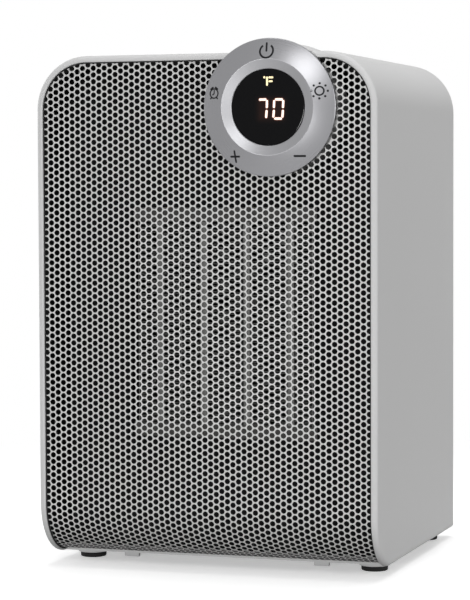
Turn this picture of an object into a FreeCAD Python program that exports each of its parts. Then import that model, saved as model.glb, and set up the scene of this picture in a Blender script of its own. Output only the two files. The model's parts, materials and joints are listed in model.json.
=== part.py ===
import FreeCAD, Part
import math
import os

# Ceramic fan heater, free standing, in millimetres. +X is to the right of someone facing the grille,
# +Y runs from the grille to the back, +Z is up, and the origin is on the floor under the middle of the box.

V = FreeCAD.Vector
X_AXIS = V(1, 0, 0)
Y_AXIS = V(0, 1, 0)
Z_AXIS = V(0, 0, 1)

# Driving dimensions of the case
case_width = 200.0
case_height = 285.7
case_depth = 182.0
corner_radius = 30.0
front_curve_radius = 31.0
case_wall = 2.4
rim_width = 3.7
rim_depth = 12.0
rim_round = 2.6

# Driving dimensions of the base
foot_diameter = 15.2
foot_height = 3.0
foot_stem_diameter = 5.0
foot_head_diameter = 7.0
foot_head_height = 1.5
boss_height = 2.5
boss_diameter = 18.0
foot_side_inset = 14.2
foot_front_inset = 47.0
foot_rear_inset = 16.0
base_thickness = 2.4
lug_width = 8.8
lug_depth = 2.4
lug_setback = 5.0
lug_height = 3.0
lug_spacing = 115.0
base_screw_offset = 20.0

# Driving dimensions of the grille
mesh_recess = 1.8
mesh_thickness = 0.8
mesh_border = 2.4
hole_pitch = 11.36
hole_diameter = 8.8
frame_wall = 2.0
frame_flange = 2.4

# Driving dimensions of the dial and its pod
dial_diameter = 75.8
dial_x = 39.8
dial_drop = 30.5
dial_proud = 7.0
crest_diameter = 52.8
lens_diameter = 42.2
lens_sink = 1.8
lens_thickness = 1.2
lens_flange = 2.3
lens_flange_thickness = 1.6
ring_edge = 2.4
ring_gap = 0.6
ring_back = 1.6
ring_skirt = 2.3
dial_overhang = 1.2
sleeve_length = 26.0
sleeve_web = 2.0
sleeve_web_bore = 40.0
hump_straight = 52.0
hump_slope = 33.0
hump_blend = 10.0
pod_wall = 2.0
pod_floor = 2.0
board_thickness = 1.6
board_depth = 4.6
pod_ledge = 3.0
pod_screw_angles = (30.0, 150.0, 270.0)
digit_width = 34.0
digit_height = 20.0
touch_spring_diameter = 4.0
touch_inset = 7.2
touch_angles = (90.0, 164.0, 17.0, 236.0, 304.0)

# Driving dimensions of the heating element
element_setback = 35.0
element_z = 139.3
element_height = 116.0
element_depth = 25.0
tube_count = 4
tube_pitch = 26.2
tube_width = 5.4
fin_plate = 0.4
fin_sheet = 0.4
fin_wave = 3.2
end_frame_height = 8.0
end_frame_margin = 3.0
bare_tube = 1
terminal_width = 6.3
terminal_thickness = 0.8
terminal_height = 9.0
fuse_diameter = 4.0
fuse_length = 16.0
cutout_diameter = 16.0
cutout_height = 8.0

# Driving dimensions of the duct, fan and motor
duct_wall = 2.2
duct_length = 46.0
baffle_thickness = 2.0
shroud_plate = 2.5
shroud_length = 27.0
shroud_wall = 2.4
shroud_margin = 6.0
impeller_diameter = 112.0
impeller_gap = 2.6
impeller_hub_diameter = 38.0
impeller_length = 21.0
impeller_setback = 2.5
blade_count = 7
blade_chord = 25.0
blade_angle = 34.0
blade_thickness = 1.6
blade_bow = 2.2
hub_wall = 2.2
hub_bore_length = 14.0
hub_boss_diameter = 11.0
spider_thickness = 3.0
spider_arm = 9.0
spider_plate_diameter = 56.0
spider_bore = 24.0
shaft_diameter = 5.0
shaft_fit = 0.04
rotor_diameter = 30.0
rotor_gap = 0.5
stack_length = 18.0
stack_width = 62.0
stack_top = 23.0
stack_bottom = 44.0
stack_yoke = 10.0
stack_leg = 10.0
window_height = 14.0
coil_length = 36.0
coil_build = 7.5
bracket_thickness = 2.5
bracket_height = 18.0
bracket_gap = 9.0
bush_diameter = 10.0
bush_length = 8.0
bush_holder_wall = 2.0
bush_seat_length = 5.5
motor_screw_spacing = 50.0

# Driving dimensions of the rear cover and what it carries
cover_thickness = 2.4
louvre_count = 14
louvre_pitch = 8.2
louvre_height = 4.2
louvre_width = 56.0
louvre_rib = 6.0
louvre_hood = 3.0
louvre_hood_thickness = 1.4
grip_width = 104.0
grip_height = 27.0
grip_depth = 18.0
grip_drop = 34.0
grip_wall = 2.0
cover_boss_diameter = 8.0
cover_boss_length = 16.0
cover_boss_levels = (40.0, 152.0, 246.0)
screw_diameter = 3.0
screw_head_diameter = 5.6
screw_head_height = 2.0
screw_grip = 9.0
rocker_side_inset = 38.0
rocker_z = 44.0
rocker_width = 9.0
rocker_height = 15.0
rocker_rise = 1.6
rocker_body_depth = 16.0
rocker_throw = 16.0
rocker_wall = 2.2
rocker_pin_diameter = 2.4
rocker_pin_length = 1.5
rocker_play = 0.9
gland_side_inset = 38.0
gland_z = 34.0
gland_bore = 7.2
gland_diameter = 12.0
gland_flange_diameter = 17.0
gland_length = 11.0
gland_flange_thickness = 2.2

# Driving dimensions of the control board and the tip-over switch
pcb_length = 84.0
pcb_height = 96.0
pcb_standoff = 9.0
pcb_y = 33.0
pcb_z = 140.0
pcb_post_diameter = 7.0
pcb_hole_inset = 6.0
relay_length = 19.0
relay_width = 15.5
relay_height = 15.0
relay_spacing = 24.0
capacitor_diameter = 13.0
capacitor_height = 20.0
transformer_length = 28.0
transformer_width = 24.0
transformer_height = 20.0
tip_x = -40.0
tip_rear_inset = 42.5
tip_body_size = 18.0
tip_body_height = 22.0
tip_wall = 2.2
tip_pin_diameter = 6.0
tip_collar_diameter = 11.0
tip_collar_height = 2.0
tip_travel = 4.0
tip_floor_gap = 0.2
tip_fit = 0.06
spring_wire = 0.8
spring_turns = 5
sensor_diameter = 4.5
sensor_length = 9.0
sensor_x = 30.0
sensor_rear_inset = 24.5
sensor_holder = 9.0
wire_diameter = 3.0
wire_bend = 6.0
wire_rise = 9.0
wire_lane = 6.0
wire_first_lane = 3
wire_side_gap = 9.0
wire_board_drop = 10.0
motor_wire_gap = 8.0

# Clearances
fit = 0.25
slide_fit = 0.4
edge_slack = 0.01

# Places worked out from the driving dimensions
case_bottom = foot_height + boss_height
case_top = case_bottom + case_height
front_y = dial_proud - (case_depth + dial_proud) / 2
back_y = front_y + case_depth
mesh_y = front_y + mesh_recess
dial_z = case_top - dial_drop
base_top = case_bottom + base_thickness
inner_half = case_width / 2 - case_wall
lip_y = front_y + front_curve_radius
sleeve_y = front_y + sleeve_length
element_y = mesh_y + element_setback
element_back = element_y + element_depth
module_width = tube_pitch * tube_count
fin_width = (tube_pitch - tube_width - fin_plate) / 2
end_width = module_width + 2 * end_frame_margin
end_depth = element_depth
element_bottom = element_z - element_height / 2
element_top = element_z + element_height / 2
duct_width = end_width + 2 * fit
duct_height = element_height + 2 * end_frame_height + 2 * fit
baffle_y = element_y - baffle_thickness
duct_back = element_y + duct_length
shroud_back = duct_back + shroud_plate + shroud_length
shroud_radius = impeller_diameter / 2 + impeller_gap
impeller_y = duct_back + shroud_plate + impeller_setback
spider_back = shroud_back + spider_thickness
bracket_front_y = spider_back
stack_y = bracket_front_y + bracket_thickness + bracket_gap
stack_back = stack_y + stack_length
bracket_rear_y = stack_back + bracket_gap
shaft_radius = shaft_diameter / 2
cover_y = back_y - cover_thickness
tip_y = back_y - tip_rear_inset
sensor_y = back_y - sensor_rear_inset
boss_x = inner_half - cover_boss_diameter / 2
rocker_x = case_width / 2 - rocker_side_inset
gland_x = gland_side_inset - case_width / 2
pcb_x = -inner_half + pcb_standoff
barrel_diameter = dial_diameter - 2 * dial_overhang
touch_circle_diameter = barrel_diameter - 2 * touch_inset
pod_radius = barrel_diameter / 2 - case_wall - fit
board_radius = pod_radius - pod_wall - fit
fan_axis_z = element_z


def box(x0, x1, y0, y1, z0, z1):
    return Part.makeBox(x1 - x0, y1 - y0, z1 - z0, V(x0, y0, z0))


def rod(radius, start, length, axis):
    return Part.makeCylinder(radius, length, start, axis)


def tube(outer, inner, start, length, axis):
    return rod(outer, start, length, axis).cut(rod(inner, start, length, axis))


def prism(points, sweep):
    closed = points + [points[0]]
    return Part.Face(Part.makePolygon(closed)).extrude(sweep)


def fused(shapes):
    whole = shapes[0].multiFuse(shapes[1:])
    return whole.removeSplitter()


def dial_point(forward):
    """A point on the dial's axis, so far in front of the case's front plane."""
    return V(dial_x, front_y - forward, dial_z)


def fan_point(y):
    return V(0, y, fan_axis_z)


def round_top_wire(inset, low, y):
    """The case's outline seen from the front, moved inwards by inset, with square lower corners."""
    half = case_width / 2 - inset
    top = case_top - inset
    radius = corner_radius - inset
    bow = radius * (1 - math.sqrt(0.5))
    right = Part.Arc(V(half, y, top - radius), V(half - bow, y, top - bow), V(half - radius, y, top))
    left = Part.Arc(V(radius - half, y, top), V(bow - half, y, top - bow), V(-half, y, top - radius))
    return Part.Wire([
        Part.makeLine(V(-half, y, low), V(half, y, low)),
        Part.makeLine(V(half, y, low), V(half, y, top - radius)),
        right.toShape(),
        Part.makeLine(V(half - radius, y, top), V(radius - half, y, top)),
        left.toShape(),
        Part.makeLine(V(-half, y, top - radius), V(-half, y, low)),
    ])


def round_top_block(inset, low, y0, y1):
    return Part.Face(round_top_wire(inset, low, y0)).extrude(V(0, y1 - y0, 0))


def front_curve_block(inset):
    """Everything behind the front plane and the curved lower front, moved inwards by inset."""
    half = case_width
    front = front_y + inset
    radius = front_curve_radius - inset
    centre_z = case_bottom + front_curve_radius
    bend = radius * math.sqrt(0.5)
    mid = V(-half, lip_y - bend, centre_z - bend)
    arc = Part.Arc(V(-half, front, centre_z), mid, V(-half, lip_y, centre_z - radius))
    outline = Part.Wire([
        Part.makeLine(V(-half, front, case_top), V(-half, front, centre_z)),
        arc.toShape(),
        Part.makeLine(V(-half, lip_y, centre_z - radius), V(-half, lip_y, 0)),
        Part.makeLine(V(-half, lip_y, 0), V(-half, back_y, 0)),
        Part.makeLine(V(-half, back_y, 0), V(-half, back_y, case_top)),
        Part.makeLine(V(-half, back_y, case_top), V(-half, front, case_top)),
    ])
    return Part.Face(outline).extrude(V(2 * half, 0, 0))


def case_block(side_inset, front_inset, y_end, low):
    outline = round_top_block(side_inset, low, front_y, y_end)
    return outline.common(front_curve_block(front_inset))


def hump_block():
    """The bump on top that runs back from the dial, blended into the top and sloped away behind."""
    radius = barrel_diameter / 2
    reach = radius + hump_blend
    rise = dial_drop + hump_blend
    foot = math.sqrt(reach ** 2 - rise ** 2)
    share = radius / reach
    low = case_top - case_wall
    shoulder_x = foot * share
    shoulder_z = dial_z + rise * share
    turn = math.atan2(foot, rise) / 2
    blend_x = foot - hump_blend * math.sin(turn)
    blend_z = case_top + hump_blend * (1 - math.cos(turn))
    y = front_y

    def point(side, x, z):
        return V(dial_x + side * x, y, z)

    left = Part.Arc(point(-1, foot, case_top), point(-1, blend_x, blend_z), point(-1, shoulder_x, shoulder_z))
    top = point(1, 0, dial_z + radius)
    crown = Part.Arc(point(-1, shoulder_x, shoulder_z), top, point(1, shoulder_x, shoulder_z))
    right = Part.Arc(point(1, shoulder_x, shoulder_z), point(1, blend_x, blend_z), point(1, foot, case_top))
    outline = Part.Wire([
        left.toShape(),
        crown.toShape(),
        right.toShape(),
        Part.makeLine(point(1, foot, case_top), point(1, foot, low)),
        Part.makeLine(point(1, foot, low), point(-1, foot, low)),
        Part.makeLine(point(-1, foot, low), point(-1, foot, case_top)),
    ])
    bump = Part.Face(outline).extrude(V(0, hump_straight + hump_slope, 0))
    peak = dial_z + radius
    slope_start = front_y + hump_straight
    slope_end = slope_start + hump_slope
    wedge = prism([
        V(-case_width, slope_start, peak),
        V(-case_width, slope_end, case_top),
        V(-case_width, slope_end, peak),
    ], V(2 * case_width, 0, 0))
    return bump.cut(wedge)


def sleeve_void(forward, back):
    return rod(barrel_diameter / 2 - case_wall, dial_point(forward), back + forward, Y_AXIS)


def cover_boss_points():
    spots = []
    for level in cover_boss_levels:
        for side in (-1, 1):
            spots.append(V(side * boss_x, cover_y, level))
    return spots


def cover_bosses():
    """Posts on the side walls that take the rear cover's screws."""
    posts = []
    radius = cover_boss_diameter / 2
    start = cover_y - cover_boss_length
    for spot in cover_boss_points():
        side = math.copysign(1, spot.x)
        wall = side * (inner_half + case_wall / 2)
        post = rod(radius, V(spot.x, start, spot.z), cover_boss_length, Y_AXIS)
        web = box(min(spot.x, wall), max(spot.x, wall), start, cover_y, spot.z - radius, spot.z + radius)
        pilot = rod(screw_diameter / 2, V(spot.x, cover_y - screw_grip, spot.z), screw_grip, Y_AXIS)
        posts.append(post.fuse(web).cut(pilot))
    return posts


def base_screw_points():
    spots = []
    front = front_y + foot_front_inset + base_screw_offset
    rear = back_y - foot_rear_inset - base_screw_offset
    for y in (front, rear):
        for side in (-1, 1):
            spots.append(V(side * boss_x, y, case_bottom))
    return spots


def base_bosses():
    """Blocks low on the side walls that take the base plate's screws."""
    blocks = []
    half = cover_boss_diameter / 2
    low = base_top + fit
    for spot in base_screw_points():
        side = math.copysign(1, spot.x)
        wall = side * (inner_half + case_wall / 2)
        inner = spot.x - side * half
        block = box(min(inner, wall), max(inner, wall), spot.y - half, spot.y + half, low, low + screw_grip)
        pilot = rod(screw_diameter / 2, V(spot.x, spot.y, low), screw_grip - base_thickness, Z_AXIS)
        blocks.append(block.cut(pilot))
    return blocks


def pcb_hole_points():
    spots = []
    reach_y = pcb_length / 2 - pcb_hole_inset
    reach_z = pcb_height / 2 - pcb_hole_inset
    for up in (-1, 1):
        for along in (-1, 1):
            spots.append(V(pcb_x, pcb_y + along * reach_y, pcb_z + up * reach_z))
    return spots


def pcb_posts():
    posts = []
    root = -inner_half - case_wall / 2
    for spot in pcb_hole_points():
        post = rod(pcb_post_diameter / 2, V(root, spot.y, spot.z), pcb_x - root, X_AXIS)
        pilot_start = V(pcb_x - screw_grip + board_thickness, spot.y, spot.z)
        posts.append(post.cut(rod(screw_diameter / 2, pilot_start, screw_grip, X_AXIS)))
    return posts


def pod_screw_points():
    spots = []
    radius = (sleeve_web_bore / 2 + pod_radius) / 2
    for turn in pod_screw_angles:
        angle = math.radians(turn)
        spots.append(V(dial_x + radius * math.cos(angle), sleeve_y, dial_z + radius * math.sin(angle)))
    return spots


def casing_shell():
    outer = case_block(0, 0, back_y, case_bottom)
    front_edges = []
    for edge in outer.Edges:
        bounds = edge.BoundBox
        above_curve = bounds.ZMax > case_bottom + front_curve_radius + edge_slack
        flat = bounds.YMax < front_y + edge_slack and above_curve
        bend = bounds.YMax < lip_y + edge_slack and bounds.XLength < edge_slack and bounds.YLength > edge_slack
        if flat or bend:
            front_edges.append(edge)
    outer = outer.makeFillet(rim_round, front_edges)
    low = case_bottom - case_wall
    shell = outer.cut(round_top_block(rim_width, low, front_y - rim_depth, back_y + rim_depth))
    shell = shell.cut(round_top_block(case_wall, low, front_y + rim_depth, back_y + rim_depth))
    sleeve = rod(barrel_diameter / 2, dial_point(0), sleeve_length, Y_AXIS)
    shell = fused([shell, hump_block(), sleeve])
    shell = shell.cut(sleeve_void(rim_depth, sleeve_length - sleeve_web))
    shell = shell.cut(rod(sleeve_web_bore / 2, dial_point(0), sleeve_length + 1, Y_AXIS))
    bore = barrel_diameter / 2 - case_wall
    shell = shell.cut(rod(bore, V(dial_x, sleeve_y, dial_z), hump_straight - sleeve_length, Y_AXIS))
    for spot in pod_screw_points():
        shell = shell.cut(rod(screw_diameter / 2, V(spot.x, sleeve_y - sleeve_web, spot.z), sleeve_web, Y_AXIS))
    return fused([shell] + cover_bosses() + base_bosses() + pcb_posts())


def grille_hole_clear(x, z):
    """True where a whole hole fits between the grille's edges, its rounded corners and the dial."""
    margin = hole_diameter / 2 + mesh_border
    half = case_width / 2 - rim_width - fit
    top = case_top - rim_width - fit
    radius = corner_radius - rim_width - fit
    if abs(x) > half - margin or z > top - margin:
        return False
    over_x = abs(x) - (half - radius)
    over_z = z - (top - radius)
    if over_x > 0 and over_z > 0 and math.hypot(over_x, over_z) > radius - margin:
        return False
    return math.hypot(x - dial_x, z - dial_z) > barrel_diameter / 2 + margin


def grille_drills():
    """Staggered drills through the flat front and, square to the sheet, through the lower curve."""
    drills = []
    column_pitch = hole_pitch * math.sqrt(3) / 2
    columns = int(case_width / 2 / column_pitch)
    centre = V(0, lip_y, case_bottom + front_curve_radius)
    arc_radius = front_curve_radius - mesh_recess
    arc_length = arc_radius * math.pi / 2
    depth = 4 * mesh_thickness
    rows_up = int(case_height / hole_pitch)
    rows_down = int(arc_length / hole_pitch) + 1
    for column in range(-columns, columns + 1):
        x = column * column_pitch
        stagger = 0.5 * (column % 2)
        for row in range(-rows_down, rows_up):
            along = (row + 0.5 + stagger) * hole_pitch
            angle = max(0.0, -along) / arc_radius
            if along < 0 and -along > arc_length - hole_diameter / 2 - mesh_border:
                continue
            if not grille_hole_clear(x, centre.z + max(along, 0)):
                continue
            inward = V(0, math.cos(angle), math.sin(angle))
            start = centre + V(x, 0, max(along, 0)) - inward * (arc_radius + depth / 2)
            drills.append(rod(hole_diameter / 2, start, depth, inward))
    return drills


def front_grille():
    inset = rim_width + fit
    low = case_bottom + mesh_recess
    outer = case_block(inset, mesh_recess, lip_y, low)
    inner = case_block(inset, mesh_recess + mesh_thickness, lip_y, low)
    sheet = outer.cut(inner)
    sheet = sheet.cut(rod(barrel_diameter / 2 + fit, dial_point(0), sleeve_length, Y_AXIS))
    return sheet.cut(Part.makeCompound(grille_drills()))


def grille_frame():
    """The dark plenum behind the grille: a wall all round and a flange behind the case's rim."""
    inset = rim_width + fit
    start = mesh_recess + mesh_thickness
    low = base_top + fit
    step_y = front_y + rim_depth
    flange_end = step_y + frame_flange
    outer = case_block(inset, start, baffle_y, low)
    flange = round_top_block(case_wall + fit, low, step_y, flange_end)
    flange = flange.common(front_curve_block(start))
    inner = case_block(inset + frame_wall, 0, baffle_y, low + frame_wall)
    frame = fused([outer, flange]).cut(inner)
    half = case_width / 2 - inset - frame_wall
    lip_back = lip_y + base_thickness + fit
    frame = frame.cut(box(-half - frame_wall, half + frame_wall, front_y, lip_back, low, low + frame_wall))
    return frame.cut(rod(barrel_diameter / 2 + fit, dial_point(0), sleeve_length + fit, Y_AXIS))


def front_baffle():
    """The dark plate round the heating element that closes the plenum behind."""
    plate = round_top_block(case_wall + fit, base_top + fit, baffle_y, element_y)
    half_x = duct_width / 2
    half_z = duct_height / 2
    return plate.cut(box(-half_x, half_x, baffle_y, element_y, element_z - half_z, element_z + half_z))


def foot_points():
    side = case_width / 2 - foot_side_inset
    front = front_y + foot_front_inset
    rear = back_y - foot_rear_inset
    return {
        "foot_front_left": V(-side, front, 0),
        "foot_front_right": V(side, front, 0),
        "foot_rear_left": V(-side, rear, 0),
        "foot_rear_right": V(side, rear, 0),
    }


def base_plate():
    half = inner_half - fit
    plate = box(-half, half, lip_y, cover_y - fit, case_bottom, base_top)
    lip = box(-half, half, lip_y, lip_y + base_thickness, case_bottom, base_top + mesh_recess)
    pieces = [plate, lip]
    for spot in foot_points().values():
        pieces.append(rod(boss_diameter / 2, V(spot.x, spot.y, foot_height), boss_height, Z_AXIS))
    for side in (-1, 1):
        left = side * lug_spacing / 2 - lug_width / 2
        low = case_bottom - lug_height
        front = lip_y + lug_setback
        pieces.append(box(left, left + lug_width, front, front + lug_depth, low, case_bottom))
    plate = fused(pieces)
    for spot in foot_points().values():
        hole = foot_stem_diameter / 2
        plate = plate.cut(rod(hole, V(spot.x, spot.y, foot_height), boss_height + base_thickness, Z_AXIS))
    for spot in base_screw_points():
        plate = plate.cut(rod(screw_diameter / 2 + fit, spot, base_thickness, Z_AXIS))
    tip_hole = tip_pin_diameter / 2 + slide_fit
    return plate.cut(rod(tip_hole, V(tip_x, tip_y, case_bottom), base_thickness, Z_AXIS))


def rubber_foot(spot):
    pad = rod(foot_diameter / 2, spot, foot_height, Z_AXIS)
    pad = pad.makeFillet(foot_height / 4, [pad.Edges[2]])
    stem = rod(foot_stem_diameter / 2, V(spot.x, spot.y, foot_height), base_top - foot_height, Z_AXIS)
    head = rod(foot_head_diameter / 2, V(spot.x, spot.y, base_top), foot_head_height, Z_AXIS)
    return fused([pad, stem, head])


def spun(points):
    """A solid turned about the dial's axis from (radius, distance in front of the case) points."""
    corners = [V(dial_x + radius, front_y - forward, dial_z) for radius, forward in points]
    face = Part.Face(Part.makePolygon(corners + [corners[0]]))
    return face.revolve(dial_point(0), Y_AXIS, 360)


def control_ring():
    outer = dial_diameter / 2
    crest = crest_diameter / 2
    lens = lens_diameter / 2
    seat = lens + lens_flange + fit
    lens_front = dial_proud - lens_sink
    skirt = outer - ring_skirt
    return spun([
        (outer, ring_gap),
        (outer, ring_gap + ring_edge),
        (crest, dial_proud),
        (lens, lens_front),
        (lens, lens_front - lens_thickness),
        (seat, lens_front - lens_thickness),
        (seat, ring_back),
        (skirt, ring_back),
        (skirt, ring_gap),
    ])


def display_lens():
    front = dial_proud - lens_sink - fit
    step = dial_proud - lens_sink - lens_thickness
    face = lens_diameter / 2 - fit / 2
    flange = lens_diameter / 2 + lens_flange
    back = step - lens_flange_thickness
    return spun([(0, front), (face, front), (face, step), (flange, step), (flange, back), (0, back)])


def lens_back():
    return dial_proud - lens_sink - lens_thickness - lens_flange_thickness


def board_front():
    return board_thickness - board_depth


def control_pod():
    length = sleeve_length - sleeve_web
    cup = rod(pod_radius, dial_point(ring_back), length + ring_back, Y_AXIS)
    cup = cup.cut(rod(pod_radius - pod_wall, dial_point(ring_back), ring_back + board_depth, Y_AXIS))
    ledge = pod_radius - pod_wall - pod_ledge
    cup = cup.cut(rod(ledge, dial_point(ring_back), ring_back + length - pod_floor, Y_AXIS))
    boss_radius = cover_boss_diameter / 2
    bosses = []
    for spot in pod_screw_points():
        start = V(spot.x, sleeve_y - sleeve_web - screw_grip, spot.z)
        bosses.append(rod(boss_radius, start, screw_grip, Y_AXIS))
    cup = fused([cup] + bosses)
    for spot in pod_screw_points():
        start = V(spot.x, sleeve_y - sleeve_web - screw_grip + sleeve_web, spot.z)
        cup = cup.cut(rod(screw_diameter / 2, start, screw_grip - sleeve_web, Y_AXIS))
    return cup


def display_board():
    return rod(board_radius, dial_point(board_front()), board_thickness, Y_AXIS)


def digit_module():
    half_x = digit_width / 2
    half_z = digit_height / 2
    return box(dial_x - half_x, dial_x + half_x, front_y - lens_back(), front_y - board_front(),
               dial_z - half_z, dial_z + half_z)


def touch_springs():
    """The five sprung contacts between the board and the back of the ring, one behind each symbol."""
    contacts = []
    length = ring_back - board_front()
    for turn in touch_angles:
        angle = math.radians(turn)
        x = dial_x + touch_circle_diameter / 2 * math.cos(angle)
        z = dial_z + touch_circle_diameter / 2 * math.sin(angle)
        contacts.append(rod(touch_spring_diameter / 2, V(x, front_y - ring_back, z), length, Y_AXIS))
    return Part.makeCompound(contacts)


def tube_x(index):
    return (index - (tube_count - 1) / 2) * tube_pitch


def heater_tube(index):
    """One flat aluminium tube with the ceramic stones inside, full height of the element."""
    x = tube_x(index)
    bar = box(x - tube_width / 2, x + tube_width / 2, element_y, element_back, element_bottom, element_top)
    upright = [edge for edge in bar.Edges if edge.BoundBox.ZLength > element_height / 2]
    return bar.makeFillet(tube_width / 4, upright)


def corrugated_fin(x0, x1):
    """One fin: a sheet folded to and fro between two upright walls, flat for a little where it meets them."""
    run = x1 - x0 - fin_sheet
    rise = fin_wave / 2 - 2 * fin_sheet
    lift = fin_sheet / 2 * math.hypot(run, rise) / run
    strokes = 2 * int(element_height / fin_wave)
    low = element_z - strokes * fin_wave / 4
    near = []
    far = []
    for stroke in range(strokes):
        to_right = stroke % 2 == 0
        up = lift if to_right else -lift
        ends = [(x0, up), (x1 - fin_sheet, up)]
        other_ends = [(x0 + fin_sheet, -up), (x1, -up)]
        for path, corners in ((near, ends), (far, other_ends)):
            for x, shift in corners if to_right else reversed(corners):
                share = (x - x0 - fin_sheet / 2) / run
                climb = rise * (share if to_right else 1 - share)
                path.append(V(x, element_y, low + stroke * fin_wave / 2 + climb + shift))
    return prism(near + far[::-1], V(0, element_depth, 0))


def fin_plates():
    plates = []
    half = fin_plate / 2
    for index in range(tube_count + 1):
        x = (index - tube_count / 2) * tube_pitch
        plates.append(box(x - half, x + half, element_y, element_back, element_bottom, element_top))
    return Part.makeCompound(plates)


def heater_end(low):
    return box(-end_width / 2, end_width / 2, element_y, element_y + end_depth, low, low + end_frame_height)


def terminal_points():
    return [tube_x(index) for index in range(tube_count) if index != bare_tube]


def heater_end_top():
    block = heater_end(element_top)
    middle = element_y + element_depth / 2
    for x in terminal_points():
        slot = box(x - terminal_width / 2, x + terminal_width / 2, middle - terminal_thickness / 2,
                   middle + terminal_thickness / 2, element_top, element_top + end_frame_height)
        block = block.cut(slot)
    return block


def heater_terminals():
    tabs = []
    middle = element_y + element_depth / 2
    half = terminal_thickness / 2
    for x in terminal_points():
        tabs.append(box(x - terminal_width / 2, x + terminal_width / 2, middle - half, middle + half,
                        element_top, element_top + end_frame_height + terminal_height))
    return Part.makeCompound(tabs)


def heater_duct():
    """The duct that holds the element, with a plate at its back that turns it round for the fan."""
    half_x = duct_width / 2
    half_z = duct_height / 2
    outer = box(-half_x - duct_wall, half_x + duct_wall, element_y, duct_back,
                element_z - half_z - duct_wall, element_z + half_z + duct_wall)
    outer = outer.cut(box(-half_x, half_x, element_y, duct_back, element_z - half_z, element_z + half_z))
    stop_x = half_x - end_frame_margin
    stop_z = element_height / 2
    stop = box(-half_x, half_x, element_back, element_back + duct_wall, element_z - half_z, element_z + half_z)
    stop = stop.cut(box(-stop_x, stop_x, element_back, element_back + duct_wall,
                        element_z - stop_z, element_z + stop_z))
    side = shroud_side()
    plate = box(-side, side, duct_back, duct_back + shroud_plate, element_z - side, element_z + side)
    plate = plate.cut(rod(shroud_radius, fan_point(duct_back), shroud_plate, Y_AXIS))
    duct = fused([outer, stop, plate])
    slot_floor = element_top + end_frame_height + fit
    roof = slot_floor + duct_wall
    for x in terminal_points():
        slot = box(x - terminal_width, x + terminal_width, element_y, element_back, slot_floor, roof)
        duct = duct.cut(slot)
    for spot in shroud_screw_points():
        duct = duct.cut(rod(screw_diameter / 2 + fit, V(spot.x, duct_back, spot.z), shroud_plate, Y_AXIS))
    return duct


def shroud_side():
    return shroud_radius + shroud_wall + shroud_margin


def shroud_screw_points():
    reach = shroud_side() - cover_boss_diameter / 2
    spots = []
    for up in (-1, 1):
        for side in (-1, 1):
            spots.append(V(side * reach, duct_back + shroud_plate, element_z + up * reach))
    return spots


def fan_shroud():
    start = duct_back + shroud_plate
    ring = tube(shroud_radius + shroud_wall, shroud_radius, fan_point(start), shroud_length, Y_AXIS)
    pieces = [ring]
    for spot in shroud_screw_points():
        post = rod(cover_boss_diameter / 2, spot, shroud_length, Y_AXIS)
        toward = V(spot.x, 0, spot.z - fan_axis_z)
        web_length = toward.Length - shroud_radius - shroud_wall / 2
        web = box(0, web_length, 0, shroud_length, -shroud_wall / 2, shroud_wall / 2)
        web.translate(V(shroud_radius + shroud_wall / 2, 0, 0))
        web.rotate(V(0, 0, 0), Y_AXIS, -math.degrees(math.atan2(toward.z, toward.x)))
        web.translate(fan_point(start))
        pieces.append(post)
        pieces.append(web)
    shroud = fused(pieces)
    for spot in shroud_screw_points():
        shroud = shroud.cut(rod(screw_diameter / 2, spot, shroud_length, Y_AXIS))
    return shroud


def motor_spider():
    """Four arms behind the fan that carry the motor on the shroud."""
    start = shroud_back
    ring = tube(shroud_radius + shroud_wall, shroud_radius, fan_point(start), spider_thickness, Y_AXIS)
    hub = rod(spider_plate_diameter / 2, fan_point(start), spider_thickness, Y_AXIS)
    pieces = [ring, hub]
    for spot in shroud_screw_points():
        toward = V(spot.x, 0, spot.z - fan_axis_z)
        arm = box(0, toward.Length, 0, spider_thickness, -spider_arm / 2, spider_arm / 2)
        arm.rotate(V(0, 0, 0), Y_AXIS, -math.degrees(math.atan2(toward.z, toward.x)))
        arm.translate(fan_point(start))
        pieces.append(arm)
        pieces.append(rod(cover_boss_diameter / 2, V(spot.x, start, spot.z), spider_thickness, Y_AXIS))
    spider = fused(pieces)
    spider = spider.cut(rod(spider_bore / 2, fan_point(start), spider_thickness, Y_AXIS))
    for spot in shroud_screw_points():
        spider = spider.cut(rod(screw_diameter / 2 + fit, V(spot.x, start, spot.z), spider_thickness, Y_AXIS))
    for x in motor_screw_places():
        spider = spider.cut(rod(screw_diameter / 2, V(x, start, fan_axis_z), spider_thickness, Y_AXIS))
    return spider


def motor_screw_places():
    return [-motor_screw_spacing / 2, motor_screw_spacing / 2]


def motor_bracket(y, seat_side):
    """A strap across the motor with the cup for one bearing; seat_side is -1 or 1 along Y."""
    half = stack_width / 2
    rise = bracket_height / 2
    strap = box(-half, half, y, y + bracket_thickness, fan_axis_z - rise, fan_axis_z + rise)
    cup_radius = bush_diameter / 2 + bush_holder_wall
    cup_start = y if seat_side > 0 else y + bracket_thickness - bush_seat_length
    cup = rod(cup_radius, fan_point(cup_start), bush_seat_length, Y_AXIS)
    bracket = fused([strap, cup])
    bracket = bracket.cut(rod(bush_diameter / 2, fan_point(cup_start), bush_seat_length, Y_AXIS))
    for x in motor_screw_places():
        bracket = bracket.cut(rod(screw_diameter / 2 + fit, V(x, y, fan_axis_z), bracket_thickness, Y_AXIS))
    return bracket


def motor_bush(y):
    return tube(bush_diameter / 2, shaft_radius + shaft_fit, fan_point(y), bush_length, Y_AXIS)


def front_bush_y():
    return bracket_front_y + bush_seat_length - bush_length


def rear_bush_y():
    return bracket_rear_y + bracket_thickness - bush_seat_length


def motor_spacers():
    """Four sleeves on the motor's screws that hold the brackets off the iron stack."""
    sleeves = []
    for x in motor_screw_places():
        for y in (bracket_front_y + bracket_thickness, stack_back):
            bore = screw_diameter / 2 + fit
            sleeves.append(tube(screw_diameter, bore, V(x, y, fan_axis_z), bracket_gap, Y_AXIS))
    return Part.makeCompound(sleeves)


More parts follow.
